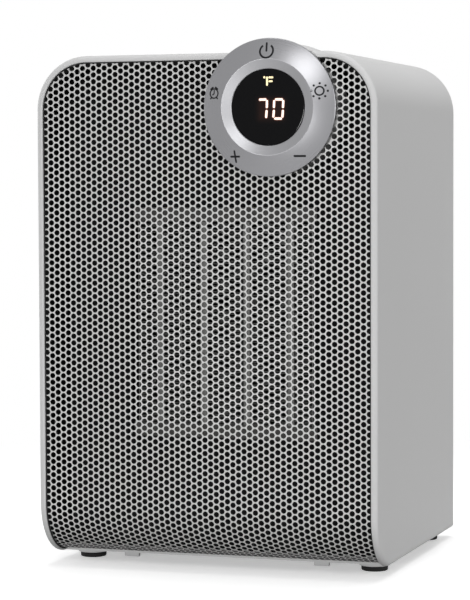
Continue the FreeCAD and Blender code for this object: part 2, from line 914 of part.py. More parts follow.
def motor_stator():
    half = stack_width / 2
    low = fan_axis_z - stack_bottom
    stack = box(-half, half, stack_y, stack_back, low, fan_axis_z + stack_top)
    window_low = low + stack_yoke
    window_high = window_low + window_height
    stack = stack.cut(box(stack_leg - half, half - stack_leg, stack_y, stack_back, window_low, window_high))
    stack = stack.cut(rod(rotor_diameter / 2 + rotor_gap, fan_point(stack_y), stack_length, Y_AXIS))
    for x in motor_screw_places():
        stack = stack.cut(rod(screw_diameter / 2 + fit, V(x, stack_y, fan_axis_z), stack_length, Y_AXIS))
    return stack


def motor_coil():
    low = fan_axis_z - stack_bottom
    high = low + stack_yoke
    half = coil_length / 2
    coil = box(-half, half, stack_y - coil_build, stack_back + coil_build, low - coil_build, high + coil_build)
    long_edges = [edge for edge in coil.Edges if edge.BoundBox.XLength > half]
    coil = coil.makeFillet(coil_build / 2, long_edges)
    return coil.cut(box(-half, half, stack_y, stack_back, low, high))


def motor_shaft():
    start = impeller_y + impeller_length - hub_bore_length
    end = rear_bush_y() + bush_length
    return rod(shaft_radius, fan_point(start), end - start, Y_AXIS)


def motor_rotor():
    return tube(rotor_diameter / 2, shaft_radius, fan_point(stack_y), stack_length, Y_AXIS)


def fan_blade():
    """One bowed blade along +X, before it is turned to its place."""
    half = blade_chord / 2
    bow = blade_bow
    front = Part.Arc(V(0, -half, 0), V(0, 0, bow), V(0, half, 0)).toShape()
    thick = blade_thickness
    back = Part.Arc(V(0, half, thick), V(0, 0, bow + thick), V(0, -half, thick)).toShape()
    edges = [
        front,
        Part.makeLine(V(0, half, 0), V(0, half, thick)),
        back,
        Part.makeLine(V(0, -half, thick), V(0, -half, 0)),
    ]
    root = impeller_hub_diameter / 2 - hub_wall
    blade = Part.Face(Part.Wire(edges)).extrude(V(impeller_diameter / 2 - root, 0, 0))
    blade.translate(V(root, 0, 0))
    blade.rotate(V(0, 0, 0), X_AXIS, 90 - blade_angle)
    return blade


def fan_impeller():
    """A cup-shaped hub, open towards the motor, with bowed blades round it."""
    hub_radius = impeller_hub_diameter / 2
    middle = impeller_y + impeller_length / 2
    hub = rod(hub_radius, fan_point(impeller_y), impeller_length, Y_AXIS)
    cavity = rod(hub_radius - hub_wall, fan_point(impeller_y + hub_wall), impeller_length - hub_wall, Y_AXIS)
    boss = rod(hub_boss_diameter / 2, fan_point(impeller_y), impeller_length, Y_AXIS)
    blades = []
    for index in range(blade_count):
        blade = fan_blade()
        blade.rotate(V(0, 0, 0), Y_AXIS, index * 360.0 / blade_count)
        blade.translate(fan_point(middle))
        blades.append(blade)
    sweep = rod(impeller_diameter / 2, fan_point(impeller_y), impeller_length, Y_AXIS)
    rim = fused([hub] + blades).common(sweep)
    impeller = rim.cut(cavity).fuse(boss).removeSplitter()
    bore_start = impeller_y + impeller_length - hub_bore_length
    return impeller.cut(rod(shaft_radius, fan_point(bore_start), hub_bore_length, Y_AXIS))


def louvre_slots():
    slots = []
    first = fan_axis_z - (louvre_count - 1) / 2 * louvre_pitch
    for index in range(louvre_count):
        z = first + index * louvre_pitch
        for side in (-1, 1):
            middle = side * (louvre_width + louvre_rib) / 2
            slots.append(box(middle - louvre_width / 2, middle + louvre_width / 2, cover_y, back_y,
                             z - louvre_height / 2, z + louvre_height / 2))
    return slots


def louvre_hoods():
    """Sloped vanes behind the slots, inside the cover, that keep fingers and light out."""
    hoods = []
    first = fan_axis_z - (louvre_count - 1) / 2 * louvre_pitch
    half = louvre_width + louvre_rib / 2
    for index in range(louvre_count):
        top = first + index * louvre_pitch + louvre_height / 2
        hoods.append(prism([
            V(-half, cover_y, top),
            V(-half, cover_y, top + louvre_hood_thickness),
            V(-half, cover_y - louvre_hood, top + louvre_hood_thickness - louvre_hood),
            V(-half, cover_y - louvre_hood, top - louvre_hood),
        ], V(2 * half, 0, 0)))
    return hoods


def grip_limits():
    high = case_top - grip_drop
    return -grip_width / 2, grip_width / 2, high - grip_height, high


def rear_cover():
    plate = round_top_block(case_wall + fit, case_bottom, cover_y, back_y)
    x0, x1, z0, z1 = grip_limits()
    tub = box(x0 - grip_wall, x1 + grip_wall, cover_y - grip_depth, cover_y, z0 - grip_wall, z1 + grip_wall)
    cover = fused([plate] + louvre_hoods() + [tub])
    cover = cover.cut(box(x0, x1, cover_y - grip_depth + grip_wall, back_y, z0, z1))
    for slot in louvre_slots():
        cover = cover.cut(slot)
    for spot in cover_boss_points():
        cover = cover.cut(rod(screw_diameter / 2 + fit, spot, cover_thickness, Y_AXIS))
        head = V(spot.x, back_y - screw_head_height / 2, spot.z)
        cover = cover.cut(rod(screw_head_diameter / 2 + fit, head, screw_head_height, Y_AXIS))
    half_x = rocker_width / 2 + rocker_play + rocker_wall
    half_z = rocker_height / 2 + rocker_play + rocker_wall
    cover = cover.cut(box(rocker_x - half_x, rocker_x + half_x, cover_y, back_y,
                          rocker_z - half_z, rocker_z + half_z))
    return cover.cut(rod(gland_diameter / 2, V(gland_x, cover_y, gland_z), cover_thickness, Y_AXIS))


def screw(head_seat, toward, length):
    """A pan-head screw whose head sits on head_seat and whose shank runs along toward."""
    shank = rod(screw_diameter / 2, head_seat, length, toward)
    head = rod(screw_head_diameter / 2, head_seat - toward * screw_head_height, screw_head_height, toward)
    return shank.fuse(head).removeSplitter()


def rear_cover_screws():
    seat = back_y - screw_head_height / 2
    length = seat - cover_y + screw_grip
    screws = []
    for spot in cover_boss_points():
        screws.append(screw(V(spot.x, seat, spot.z), V(0, -1, 0), length))
    return Part.makeCompound(screws)


def base_screws():
    return Part.makeCompound([screw(spot, Z_AXIS, screw_grip) for spot in base_screw_points()])


def shroud_screws():
    """Four long screws that clamp spider, shroud and duct plate together."""
    length = spider_thickness + shroud_length + shroud_plate
    screws = []
    for spot in shroud_screw_points():
        screws.append(screw(V(spot.x, spider_back, spot.z), V(0, -1, 0), length))
    return Part.makeCompound(screws)


def motor_screws():
    seat = bracket_rear_y + bracket_thickness
    length = seat - shroud_back
    screws = [screw(V(x, seat, fan_axis_z), V(0, -1, 0), length) for x in motor_screw_places()]
    return Part.makeCompound(screws)


def pod_screws():
    return Part.makeCompound([screw(spot, V(0, -1, 0), screw_grip) for spot in pod_screw_points()])


def board_screws():
    seat = pcb_x + board_thickness
    screws = [screw(V(seat, spot.y, spot.z), V(-1, 0, 0), screw_grip) for spot in pcb_hole_points()]
    return Part.makeCompound(screws)


def control_board():
    half_y = pcb_length / 2
    half_z = pcb_height / 2
    board = box(pcb_x, pcb_x + board_thickness, pcb_y - half_y, pcb_y + half_y, pcb_z - half_z, pcb_z + half_z)
    for spot in pcb_hole_points():
        board = board.cut(rod(screw_diameter / 2, V(pcb_x, spot.y, spot.z), board_thickness, X_AXIS))
    return board


def relays():
    face = pcb_x + board_thickness
    cases = []
    for side in (-1, 1):
        y = pcb_y + side * relay_spacing / 2
        cases.append(box(face, face + relay_height, y - relay_length / 2, y + relay_length / 2,
                         pcb_z - pcb_height / 4 - relay_width / 2, pcb_z - pcb_height / 4 + relay_width / 2))
    return Part.makeCompound(cases)


def filter_capacitor():
    start = V(pcb_x + board_thickness, pcb_y - pcb_length / 4, pcb_z + pcb_height / 4)
    return rod(capacitor_diameter / 2, start, capacitor_height, X_AXIS)


def standby_transformer():
    face = pcb_x + board_thickness
    y = pcb_y + pcb_length / 6
    z = pcb_z + pcb_height / 6
    return box(face, face + transformer_height, y - transformer_length / 2, y + transformer_length / 2,
               z - transformer_width / 2, z + transformer_width / 2)


def thermal_cutout():
    start = V(0, element_back - cutout_diameter / 2, duct_roof())
    return rod(cutout_diameter / 2, start, cutout_height, Z_AXIS)


def duct_roof():
    return element_z + duct_height / 2 + duct_wall


def thermal_fuse():
    """The one-shot fuse, lying on the duct's roof above the second tube."""
    radius = fuse_diameter / 2
    x = tube_x(bare_tube)
    z = duct_roof() + radius
    return rod(radius, V(x - fuse_length / 2, element_y + radius, z), fuse_length, X_AXIS)


def rocker_face():
    """How far the button's raised end stands in front of its pivot, before it is tilted."""
    return rocker_pin_diameter + rocker_rise


def rocker_pivot():
    """The pivot lies so deep that the raised end of the tilted button is flush with the cover."""
    tilt = math.radians(rocker_throw / 2)
    depth = rocker_face() * math.cos(tilt) + rocker_height / 2 * math.sin(tilt)
    return V(rocker_x, back_y - depth, rocker_z)


def rocker_body():
    inner_x = rocker_width / 2 + rocker_play
    inner_z = rocker_height / 2 + rocker_play
    outer_x = inner_x + rocker_wall
    outer_z = inner_z + rocker_wall
    start = back_y - rocker_body_depth
    body = box(rocker_x - outer_x, rocker_x + outer_x, start, back_y, rocker_z - outer_z, rocker_z + outer_z)
    body = body.cut(box(rocker_x - inner_x, rocker_x + inner_x, start + rocker_wall, back_y,
                        rocker_z - inner_z, rocker_z + inner_z))
    pivot = rocker_pivot()
    reach = inner_x + rocker_pin_length
    bore = rod(rocker_pin_diameter / 2 + shaft_fit, V(pivot.x - reach, pivot.y, pivot.z), 2 * reach, X_AXIS)
    return body.cut(bore)


def rocker_paddle():
    """The see-saw button, drawn with its upper end pushed in, and its two pivot pins."""
    pivot = rocker_pivot()
    half_x = rocker_width / 2
    half_z = rocker_height / 2
    face = rocker_face()
    low = -rocker_body_depth / 3
    outline = [
        V(-half_x, low, -half_z / 2),
        V(-half_x, face - rocker_rise, -half_z),
        V(-half_x, face, -half_z),
        V(-half_x, face - rocker_rise, 0),
        V(-half_x, face, half_z),
        V(-half_x, face - rocker_rise, half_z),
        V(-half_x, low, half_z / 2),
    ]
    button = prism(outline, V(rocker_width, 0, 0))
    reach = half_x + rocker_play + rocker_pin_length - rocker_play / 2
    pins = rod(rocker_pin_diameter / 2, V(-reach, 0, 0), 2 * reach, X_AXIS)
    paddle = button.fuse(pins).removeSplitter()
    paddle.rotate(V(0, 0, 0), X_AXIS, rocker_throw / 2)
    paddle.translate(pivot)
    return paddle


def cord_gland():
    start = back_y - gland_length
    body = rod(gland_diameter / 2, V(gland_x, start, gland_z), gland_length, Y_AXIS)
    flange = rod(gland_flange_diameter / 2, V(gland_x, cover_y - gland_flange_thickness, gland_z),
                 gland_flange_thickness, Y_AXIS)
    gland = fused([body, flange])
    return gland.cut(rod(gland_bore / 2, V(gland_x, start, gland_z), gland_length, Y_AXIS))


def tip_switch_body():
    half = tip_body_size / 2
    body = box(tip_x - half, tip_x + half, tip_y - half, tip_y + half, base_top, base_top + tip_body_height)
    cavity_radius = tip_collar_diameter / 2 + slide_fit
    cavity_height = tip_body_height - 2 * tip_wall
    body = body.cut(rod(cavity_radius, V(tip_x, tip_y, base_top + tip_wall), cavity_height, Z_AXIS))
    bore = tip_pin_diameter / 2 + tip_fit
    return body.cut(rod(bore, V(tip_x, tip_y, base_top), tip_wall, Z_AXIS))


def tip_collar_z():
    return base_top + tip_wall + tip_travel + slide_fit


def tip_plunger():
    collar_z = tip_collar_z()
    pin = rod(tip_pin_diameter / 2, V(tip_x, tip_y, tip_floor_gap), collar_z - tip_floor_gap, Z_AXIS)
    collar = rod(tip_collar_diameter / 2, V(tip_x, tip_y, collar_z), tip_collar_height, Z_AXIS)
    return fused([pin, collar])


def tip_spring():
    """The coil spring over the plunger, pressed between its collar and the switch's roof."""
    low = tip_collar_z() + tip_collar_height
    high = base_top + tip_body_height - tip_wall
    radius = tip_pin_diameter / 2
    length = high - low - spring_wire
    pitch = length / spring_turns
    helix = Part.makeHelix(pitch, length, radius)
    section = Part.Wire(Part.makeCircle(spring_wire / 2, V(radius, 0, 0), V(0, 1, 0)))
    coil = Part.Wire(helix).makePipeShell([section], True, True)
    coil.translate(V(tip_x, tip_y, low + spring_wire / 2))
    return coil


def wire_along(points):
    """A round wire along straight runs joined by arcs that touch both runs."""
    edges = []
    start = points[0]
    for before, corner, after in zip(points, points[1:], points[2:]):
        entry = (before - corner).normalize()
        leave = (after - corner).normalize()
        first = corner + entry * wire_bend
        last = corner + leave * wire_bend
        middle = corner + (entry + leave) * wire_bend * (1 - math.sqrt(0.5))
        edges.append(Part.makeLine(start, first))
        edges.append(Part.Arc(first, middle, last).toShape())
        start = last
    edges.append(Part.makeLine(start, points[-1]))
    path = Part.Wire(edges)
    section = Part.Wire(Part.makeCircle(wire_diameter / 2, points[0], points[1] - points[0]))
    return path.makePipeShell([section], True, False)


def wiring_harness():
    """The leads from the heater's terminals over to the board, and the two from the motor's coil."""
    wires = []
    face = pcb_x + board_thickness
    tab_y = element_y + element_depth / 2
    tab_top = element_top + end_frame_height + terminal_height
    landing_z = pcb_z + pcb_height / 2 - wire_board_drop
    outer_x = -shroud_side() - wire_side_gap
    for lane, x in enumerate(terminal_points()):
        level = tab_top + wire_rise + lane * wire_lane
        side = outer_x + lane * wire_diameter
        landing_y = pcb_y - pcb_length / 2 + (lane + wire_first_lane) * wire_lane
        wires.append(wire_along([
            V(x, tab_y, tab_top),
            V(x, tab_y, level),
            V(side, tab_y, level),
            V(side, landing_y, level),
            V(side, landing_y, landing_z),
            V(face, landing_y, landing_z),
        ]))
    coil_side = -coil_length / 2
    behind = stack_back + coil_build / 2
    middle = fan_axis_z - stack_bottom + stack_yoke / 2
    for up in (-1, 1):
        z = middle + up * motor_wire_gap / 2
        wires.append(rod(wire_diameter / 2, V(face, behind, z), coil_side - face, X_AXIS))
    return Part.makeCompound(wires)


def sensor_clip():
    """The block on the base plate that holds the room temperature sensor."""
    half = sensor_holder / 2
    top = base_top + sensor_holder
    block = box(sensor_x - half, sensor_x + half, sensor_y - half, sensor_y + half, base_top, top)
    bore_z = base_top + sensor_holder / 2
    return block.cut(rod(sensor_diameter / 2, V(sensor_x, sensor_y - half, bore_z), sensor_holder, Y_AXIS))


def room_sensor():
    start = V(sensor_x, sensor_y - sensor_length / 2, base_top + sensor_holder / 2)
    return rod(sensor_diameter / 2, start, sensor_length, Y_AXIS)


def all_parts():
    parts = {
        "casing_shell": casing_shell(),
        "front_grille": front_grille(),
        "grille_frame": grille_frame(),
        "front_baffle": front_baffle(),
        "base_plate": base_plate(),
        "rear_cover": rear_cover(),
        "control_ring": control_ring(),
        "display_lens": display_lens(),
        "control_pod": control_pod(),
        "display_board": display_board(),
        "digit_module": digit_module(),
        "touch_springs": touch_springs(),
        "fin_plates": fin_plates(),
        "heater_end_top": heater_end_top(),
        "heater_end_bottom": heater_end(element_bottom - end_frame_height),
        "heater_terminals": heater_terminals(),
        "heater_duct": heater_duct(),
        "thermal_cutout": thermal_cutout(),
        "thermal_fuse": thermal_fuse(),
        "fan_shroud": fan_shroud(),
        "motor_spider": motor_spider(),
        "motor_bracket_front": motor_bracket(bracket_front_y, 1),
        "motor_bracket_rear": motor_bracket(bracket_rear_y, -1),
        "motor_bush_front": motor_bush(front_bush_y()),
        "motor_bush_rear": motor_bush(rear_bush_y()),
        "motor_spacers": motor_spacers(),
        "motor_stator": motor_stator(),
        "motor_coil": motor_coil(),
        "motor_shaft": motor_shaft(),
        "motor_rotor": motor_rotor(),
        "fan_impeller": fan_impeller(),
        "control_board": control_board(),
        "relays": relays(),
        "filter_capacitor": filter_capacitor(),
        "standby_transformer": standby_transformer(),
        "rocker_body": rocker_body(),
        "rocker_paddle": rocker_paddle(),
        "cord_gland": cord_gland(),
        "tip_switch_body": tip_switch_body(),
        "tip_plunger": tip_plunger(),
        "tip_spring": tip_spring(),
        "wiring_harness": wiring_harness(),
        "sensor_clip": sensor_clip(),
        "room_sensor": room_sensor(),
        "rear_cover_screws": rear_cover_screws(),
        "base_screws": base_screws(),
        "shroud_screws": shroud_screws(),
        "motor_screws": motor_screws(),
        "pod_screws": pod_screws(),
        "board_screws": board_screws(),
    }
    for name, spot in foot_points().items():
        parts[name] = rubber_foot(spot)
    for index in range(tube_count):
        parts["heater_tube_%d" % (index + 1)] = heater_tube(index)
    fins = []
    for index in range(tube_count):
        x = tube_x(index)
        outer = tube_width / 2 + fin_width
        fins.append(corrugated_fin(x - outer, x - tube_width / 2))
        fins.append(corrugated_fin(x + tube_width / 2, x + outer))
    parts["heater_fins"] = Part.makeCompound(fins)
    return parts


def write_parts():
    os.makedirs("parts", exist_ok=True)
    for name, shape in all_parts().items():
        shape.exportStep("parts/%s.step" % name)
        print(name, len(shape.Solids), "solid(s), valid", shape.isValid(), "volume %.1f" % shape.Volume)


write_parts()
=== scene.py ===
# %% [markdown]
# The heater is a box of pale plastic with a perforated front that rolls under at its foot, and a silver
# touch dial over its upper edge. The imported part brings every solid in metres, with the floor at zero and
# the grille towards minus Y. What follows gives each solid a finish, or stands a finer piece in its place.

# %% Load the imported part
import json
import math

import bmesh
import bpy
from mathutils import Matrix, Vector


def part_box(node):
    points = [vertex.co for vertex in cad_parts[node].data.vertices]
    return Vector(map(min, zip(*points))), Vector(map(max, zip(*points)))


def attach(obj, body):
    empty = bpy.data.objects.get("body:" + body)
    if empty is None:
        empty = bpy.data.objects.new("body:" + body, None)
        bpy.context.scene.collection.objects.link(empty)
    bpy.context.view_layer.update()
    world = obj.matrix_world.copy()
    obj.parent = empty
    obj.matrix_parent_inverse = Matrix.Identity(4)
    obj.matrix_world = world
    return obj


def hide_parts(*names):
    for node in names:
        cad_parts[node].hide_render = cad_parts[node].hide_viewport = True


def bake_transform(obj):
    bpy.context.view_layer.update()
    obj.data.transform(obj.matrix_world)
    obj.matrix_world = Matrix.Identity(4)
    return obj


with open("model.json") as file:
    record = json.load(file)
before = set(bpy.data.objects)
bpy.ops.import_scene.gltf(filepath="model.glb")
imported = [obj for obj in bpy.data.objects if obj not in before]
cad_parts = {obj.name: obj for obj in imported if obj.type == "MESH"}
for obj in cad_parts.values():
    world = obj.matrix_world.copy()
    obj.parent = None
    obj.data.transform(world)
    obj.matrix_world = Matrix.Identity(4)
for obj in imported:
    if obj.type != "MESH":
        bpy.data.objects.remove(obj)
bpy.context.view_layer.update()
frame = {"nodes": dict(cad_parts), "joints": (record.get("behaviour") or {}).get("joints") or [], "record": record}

# %% [markdown]
# The main sizes could be typed in again, but then they could drift away from the solids. So they come from
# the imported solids' boxes and joints, in millimetres, because that is how a heater is measured.

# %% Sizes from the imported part
MM = 0.001


def corners_of(node):
    """The low and the high corner of a solid's box."""
    return [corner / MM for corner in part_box(node)]


case_low, case_high = corners_of("casing_shell")
cover_low, cover_high = corners_of("rear_cover")
ring_low, ring_high = corners_of("control_ring")
HALF_WIDTH = case_high.x
FRONT = case_low.y
BACK = case_high.y
CASE_BOTTOM = cover_low.z
CASE_TOP = cover_high.z + HALF_WIDTH - cover_high.x
RING_OUT = (ring_high.x - ring_low.x) / 2
dial = Vector((ring_low.x + RING_OUT, FRONT, ring_low.z + RING_OUT))
pivots = {joint["name"]: Vector(joint["pos_m"]) / MM for joint in frame["joints"] if "pos_m" in joint}
print("case top", round(CASE_TOP, 3), "dial", dial, "pivots", pivots)

# %% [markdown]
# The picture was taken a little to the right of the heater, from about its middle height, with a long lens.
# A constraint could aim the camera, but a fitted one has a small roll as well, so its matrix is put
# together from its place and three turns.

# %% Camera
CAMERA_PLACE = (0.42443, -1.29691, 0.21952)
CAMERA_YAW = math.radians(18.548)
CAMERA_PITCH = math.radians(2.910)
CAMERA_ROLL = math.radians(0.231)
CAMERA_LENS = 138.39
CAMERA_SENSOR = 36.0

camera = bpy.data.objects.new("camera", bpy.data.cameras.new("camera"))
camera.data.sensor_width = CAMERA_SENSOR
camera.data.lens = CAMERA_LENS
aim = Matrix.Rotation(CAMERA_YAW, 4, "Z") @ Matrix.Rotation(math.pi / 2 - CAMERA_PITCH, 4, "X")
camera.matrix_world = Matrix.Translation(CAMERA_PLACE) @ aim @ Matrix.Rotation(-CAMERA_ROLL, 4, "Z")
scene = bpy.context.scene
scene.collection.objects.link(camera)
scene.camera = camera
print("camera at", CAMERA_PLACE)

# %% [markdown]
# Shader trees are easier to read as sums than as boxes and wires. This class holds one output socket:
# reckoning with it makes the Math node and joins it up, and its node method makes every other kind.
# Finishes start from the Object coordinates, in metres, so they need no unwrapped meshes.

# %% Sockets that can be reckoned with
class Signal:
    """One output of a shader node, used like a number."""

    def __init__(self, tree, socket):
        self.tree = tree
        self.socket = socket

    def node(self, kind, sockets, output=0, **settings):
        """Makes a node and gives one of its outputs."""
        made = self.tree.nodes.new("ShaderNode" + kind)
        for name, value in settings.items():
            setattr(made, name, value)
        for name, value in sockets.items():
            if isinstance(value, Signal):
                self.tree.links.new(value.socket, made.inputs[name])
            else:
                made.inputs[name].default_value = value
        return Signal(self.tree, made.outputs[output]) if made.outputs else None

    def math(self, operation, first, second=0.0):
        return self.node("Math", {0: first, 1: second}, operation=operation)

    def __add__(self, other):
        return self.math("ADD", self, other)

    def __sub__(self, other):
        return self.math("SUBTRACT", self, other)

    def __rsub__(self, other):
        return self.math("SUBTRACT", other, self)

    def __mul__(self, other):
        return self.math("MULTIPLY", self, other)

    def __pow__(self, other):
        return self.math("POWER", self, other)

    def __lt__(self, other):
        return self.math("LESS_THAN", self, other)

    __radd__ = __add__

    def hypot(self, other):
        return (self * self + other * other) ** 0.5

    def blend(self, first, second):
        """Mixes two colours, with this value as the share of the second."""
        return self.node("Mix", {0: self, 6: first, 7: second}, 2, data_type="RGBA")

    def bump(self, strength, distance):
        """A normal that rises where this value is high."""
        return self.node("Bump", {"Strength": strength, "Distance": distance, "Height": self})

    def axes(self):
        """The three parts of a place."""
        parts = self.node("SeparateXYZ", {0: self}).socket.node
        return [Signal(self.tree, output) for output in parts.outputs]

    def noise(self, scale, detail=2.0, stretch=None):
        """Cloudy noise, scale lumps to the metre, drawn out along an axis where stretch is small."""
        place = self.node("Mapping", {"Vector": self, "Scale": stretch}) if stretch else self
        return self.node("TexNoise", {"Vector": place, "Scale": scale, "Detail": detail})


print("shader class ready")

# %% Start and end of a finish
FINISHES = {}


def start_finish(name):
    """Keeps a new material under its name and gives its Object coordinates."""
    finish = bpy.data.materials.new(name)
    finish.use_nodes = True
    tree = finish.node_tree
    tree.nodes.clear()
    FINISHES[name] = finish
    return Signal(tree, None).node("TexCoord", {}, "Object")


def close_finish(place, sockets):
    shader = place.node("BsdfPrincipled", sockets)
    place.node("OutputMaterial", {"Surface": shader})


def shade(colour, factor):
    return tuple(min(1.0, channel * factor) for channel in colour) + (1.0,)


def grey(value):
    return (value, value, value, 1.0)


print("finish helpers ready")

# %% [markdown]
# Most of the heater is moulded plastic, which is never one flat tone: the mould's spark texture shows as a
# fine grain, and the gloss drifts over a wall. One function makes them all, with the grain's size in metres
# so that it stays true to scale. The near black on the grille's back and in its holes is painted shade, as
# matt as these, so it is made here too.

# %% Moulded plastic finishes
CLOUD_SCALE = 18
GRAIN_STRENGTH = 0.35


def moulded(name, colour, roughness, grain, relief, drift, specular):
    place = start_finish(name)
    cloud = place.noise(CLOUD_SCALE, 3)
    fine = place.noise(1 / grain)
    close_finish(place, {
        "Base Color": cloud.blend(shade(colour, 1 - drift), shade(colour, 1 + drift)),
        "Roughness": roughness + (cloud - 0.5) * 0.08 + (fine - 0.5) * 0.06,
        "Specular IOR Level": specular,
        "Normal": fine.bump(GRAIN_STRENGTH, relief),
    })


# Colour, roughness, size and relief of the grain in metres, drift of the tone, specular level
MOULDINGS = {
    "case_plastic": ((0.58, 0.58, 0.58), 0.5, 0.0005, 0.000012, 0.015, 0.25),
    "cover_plastic": ((0.50, 0.50, 0.505), 0.55, 0.0007, 0.00004, 0.02, 0.5),
    "dark_plastic": ((0.007, 0.007, 0.007), 0.75, 0.0006, 0.00003, 0.1, 0.05),
    "impeller_plastic": ((0.035, 0.035, 0.038), 0.45, 0.0005, 0.00002, 0.08, 0.4),
    "element_frame": ((0.018, 0.016, 0.014), 0.6, 0.0008, 0.00004, 0.06, 0.5),
    "foot_rubber": ((0.010, 0.010, 0.010), 0.8, 0.0003, 0.00004, 0.12, 0.25),
    "relay_blue": ((0.03, 0.06, 0.22), 0.3, 0.0006, 0.00001, 0.05, 0.5),
    "wire_sleeve": ((0.50, 0.48, 0.44), 0.65, 0.0003, 0.00003, 0.05, 0.5),
    # Near black: painted shade on the grille's back and on the walls of its holes
    "grille_painted_shade": ((0.010, 0.010, 0.010), 0.7, 0.0005, 0.00002, 0.15, 0.2),
}
for name, values in MOULDINGS.items():
    moulded(name, *values)
print("moulded finishes", sorted(MOULDINGS))

# %% [markdown]
# Sheet and bar carry fine drawn lines along their length, while screws and sintered bronze are only
# speckled. Noise that is drawn out along one axis gives the lines, and it drives the gloss more than the
# colour, as on real metal.

# %% Metal finishes
STAIN_SCALE = 35
LINE_DEPTH = 0.00002


def drawn_metal(name, colour, roughness, stretch, scale, contrast):
    place = start_finish(name)
    lines = place.noise(scale, 3, stretch)
    tone = lines * 0.6 + place.noise(STAIN_SCALE) * 0.4
    close_finish(place, {
        "Base Color": tone.blend(shade(colour, 1 - contrast), shade(colour, 1 + contrast)),
        "Metallic": 1.0,
        "Roughness": roughness + (lines - 0.5) * 0.2,
        "Normal": lines.bump(0.25, LINE_DEPTH),
    })


# Colour, roughness, stretch and scale of the lines, contrast of the tone
METALS = {
    # The element's tubes and fins are near black for aluminium: painted shade for the dim inside of the case
    "element_aluminium": ((0.10, 0.10, 0.097), 0.5, (1, 1, 0.06), 900, 0.12),
    "contact_steel": ((0.55, 0.55, 0.56), 0.3, (1, 0.08, 1), 900, 0.12),
    "screw_steel": ((0.50, 0.50, 0.50), 0.32, None, 1500, 0.12),
    "terminal_brass": ((0.70, 0.55, 0.28), 0.3, (1, 1, 0.1), 900, 0.12),
    "fin_painted_shade": ((0.06, 0.06, 0.058), 0.55, (1, 0.1, 1), 700, 0.3),
    "bush_bronze": ((0.45, 0.30, 0.15), 0.5, None, 2500, 0.25),
}
for name, values in METALS.items():
    drawn_metal(name, *values)
print("metal finishes", sorted(METALS))

# %% [markdown]
# The motor's iron is a stack of sheets, its coil is layers of wire, and the boards are lacquer over copper
# tracks. Modelling them would cost thousands of faces that hardly show through the grille, so patterns do:
# the fraction of a place along one axis gives layers, and bricks give tracks.

# %% Layered finishes
def banded(name, colour, gap, axis, width, metallic, roughness):
    place = start_finish(name)
    joint = place.math("FRACT", place.axes()[axis] * (1 / width)) < gap
    cloud = place.noise(60)
    tone = cloud.blend(shade(colour, 0.85), shade(colour, 1.1))
    close_finish(place, {
        "Base Color": joint.blend(tone, shade(colour, 0.3)),
        "Metallic": metallic,
        "Roughness": roughness + cloud * 0.15,
        "Normal": (1 - joint).bump(0.5, 0.0001),
    })


banded("motor_iron", (0.30, 0.30, 0.31), 0.12, 1, 0.0005, 0.9, 0.35)
banded("motor_coil", (0.42, 0.15, 0.05), 0.18, 0, 0.0004, 0.6, 0.3)
print("finishes so far", len(FINISHES))

# %% Circuit boards
PAD_RADIUS = 0.22
place = start_finish("board_green")
tracks = place.node("TexBrick", {
    "Vector": place, "Scale": 160.0, "Mortar Size": 0.06, "Brick Width": 0.9, "Row Height": 0.22,
    "Color1": grey(0.0), "Color2": grey(0.1), "Mortar": grey(1.0)}, 1, offset=0.35)
pad = place.node("TexVoronoi", {"Vector": place, "Scale": 210.0}) < PAD_RADIUS
lacquer = tracks.blend((0.015, 0.10, 0.04, 1), (0.03, 0.17, 0.07, 1))
close_finish(place, {
    "Base Color": pad.blend(lacquer, (0.55, 0.54, 0.50, 1)),
    "Metallic": pad * 0.8,
    "Roughness": 0.35 + tracks * 0.1,
})
print("board finish ready")

# %% [markdown]
# The grille is steel sheet with a pale silver paint. Such paint holds tiny flakes, so it is part metal and
# part lacquer: a low metallic value with a fine speckle, and a little orange peel.

# %% Grille paint
FLAKE_SCALE = 2600
PEEL_SCALE = 420
place = start_finish("grille_metal")
flake = place.noise(FLAKE_SCALE, 1)
peel = place.noise(PEEL_SCALE)
close_finish(place, {
    "Base Color": flake.blend((0.51, 0.51, 0.505, 1), (0.59, 0.59, 0.58, 1)),
    "Metallic": flake * 0.05,
    "Roughness": 0.34 + peel * 0.12,
    "Specular IOR Level": 0.3,
    "Normal": peel.bump(0.2, 0.00002),
})
print("grille paint ready")

# %% [markdown]
# The dial's ring is satin silver that was spun on a lathe, so its grain runs round the dial's axis. The
# distance from that axis turns plain noise into rings, and it tells the paler, duller chamfer from the
# rest.

# %% Ring metal
CREST = 26.4
RING_GRAIN = 5200.0
place = start_finish("ring_metal")
x, y, z = place.axes()
reach = (x - dial.x * MM).hypot(z - dial.z * MM)
rings = place.node("TexNoise", {"W": reach, "Scale": RING_GRAIN, "Detail": 3.0}, noise_dimensions="1D")
cloud = place.noise(40)
satin = rings.blend((0.235, 0.235, 0.245, 1), (0.275, 0.275, 0.285, 1))
chamfer = reach < CREST * MM
close_finish(place, {
    "Base Color": chamfer.blend(satin, (0.28, 0.28, 0.29, 1)),
    "Metallic": 1.0,
    "Roughness": 0.29 + (rings - 0.5) * 0.08 + (cloud - 0.5) * 0.05 + chamfer * 0.08,
    "Normal": rings.bump(0.12, 0.00001),
})
print("ring metal ready")

# %% [markdown]
# The window is black and glossy, and the lit digits spill a faint orange glow on it. A lamp could do that,
# but the distance to the digits' box, turned into a weak emission colour, is enough. The digits' own light
# is a little uneven, and the signs on the ring are matt ink.

# %% Window
DIGITS_MIDDLE = (dial.x + 1.8, dial.z - 1.1)
DIGITS_HALF = (6.2, 4.6)
GLOW_REACH = 4.5
GLOW_FALL = 2.2
place = start_finish("lens_black")
x, y, z = place.axes()


def beyond(along, middle, half):
    return place.math("MAXIMUM", place.math("ABSOLUTE", along - middle * MM) - half * MM)


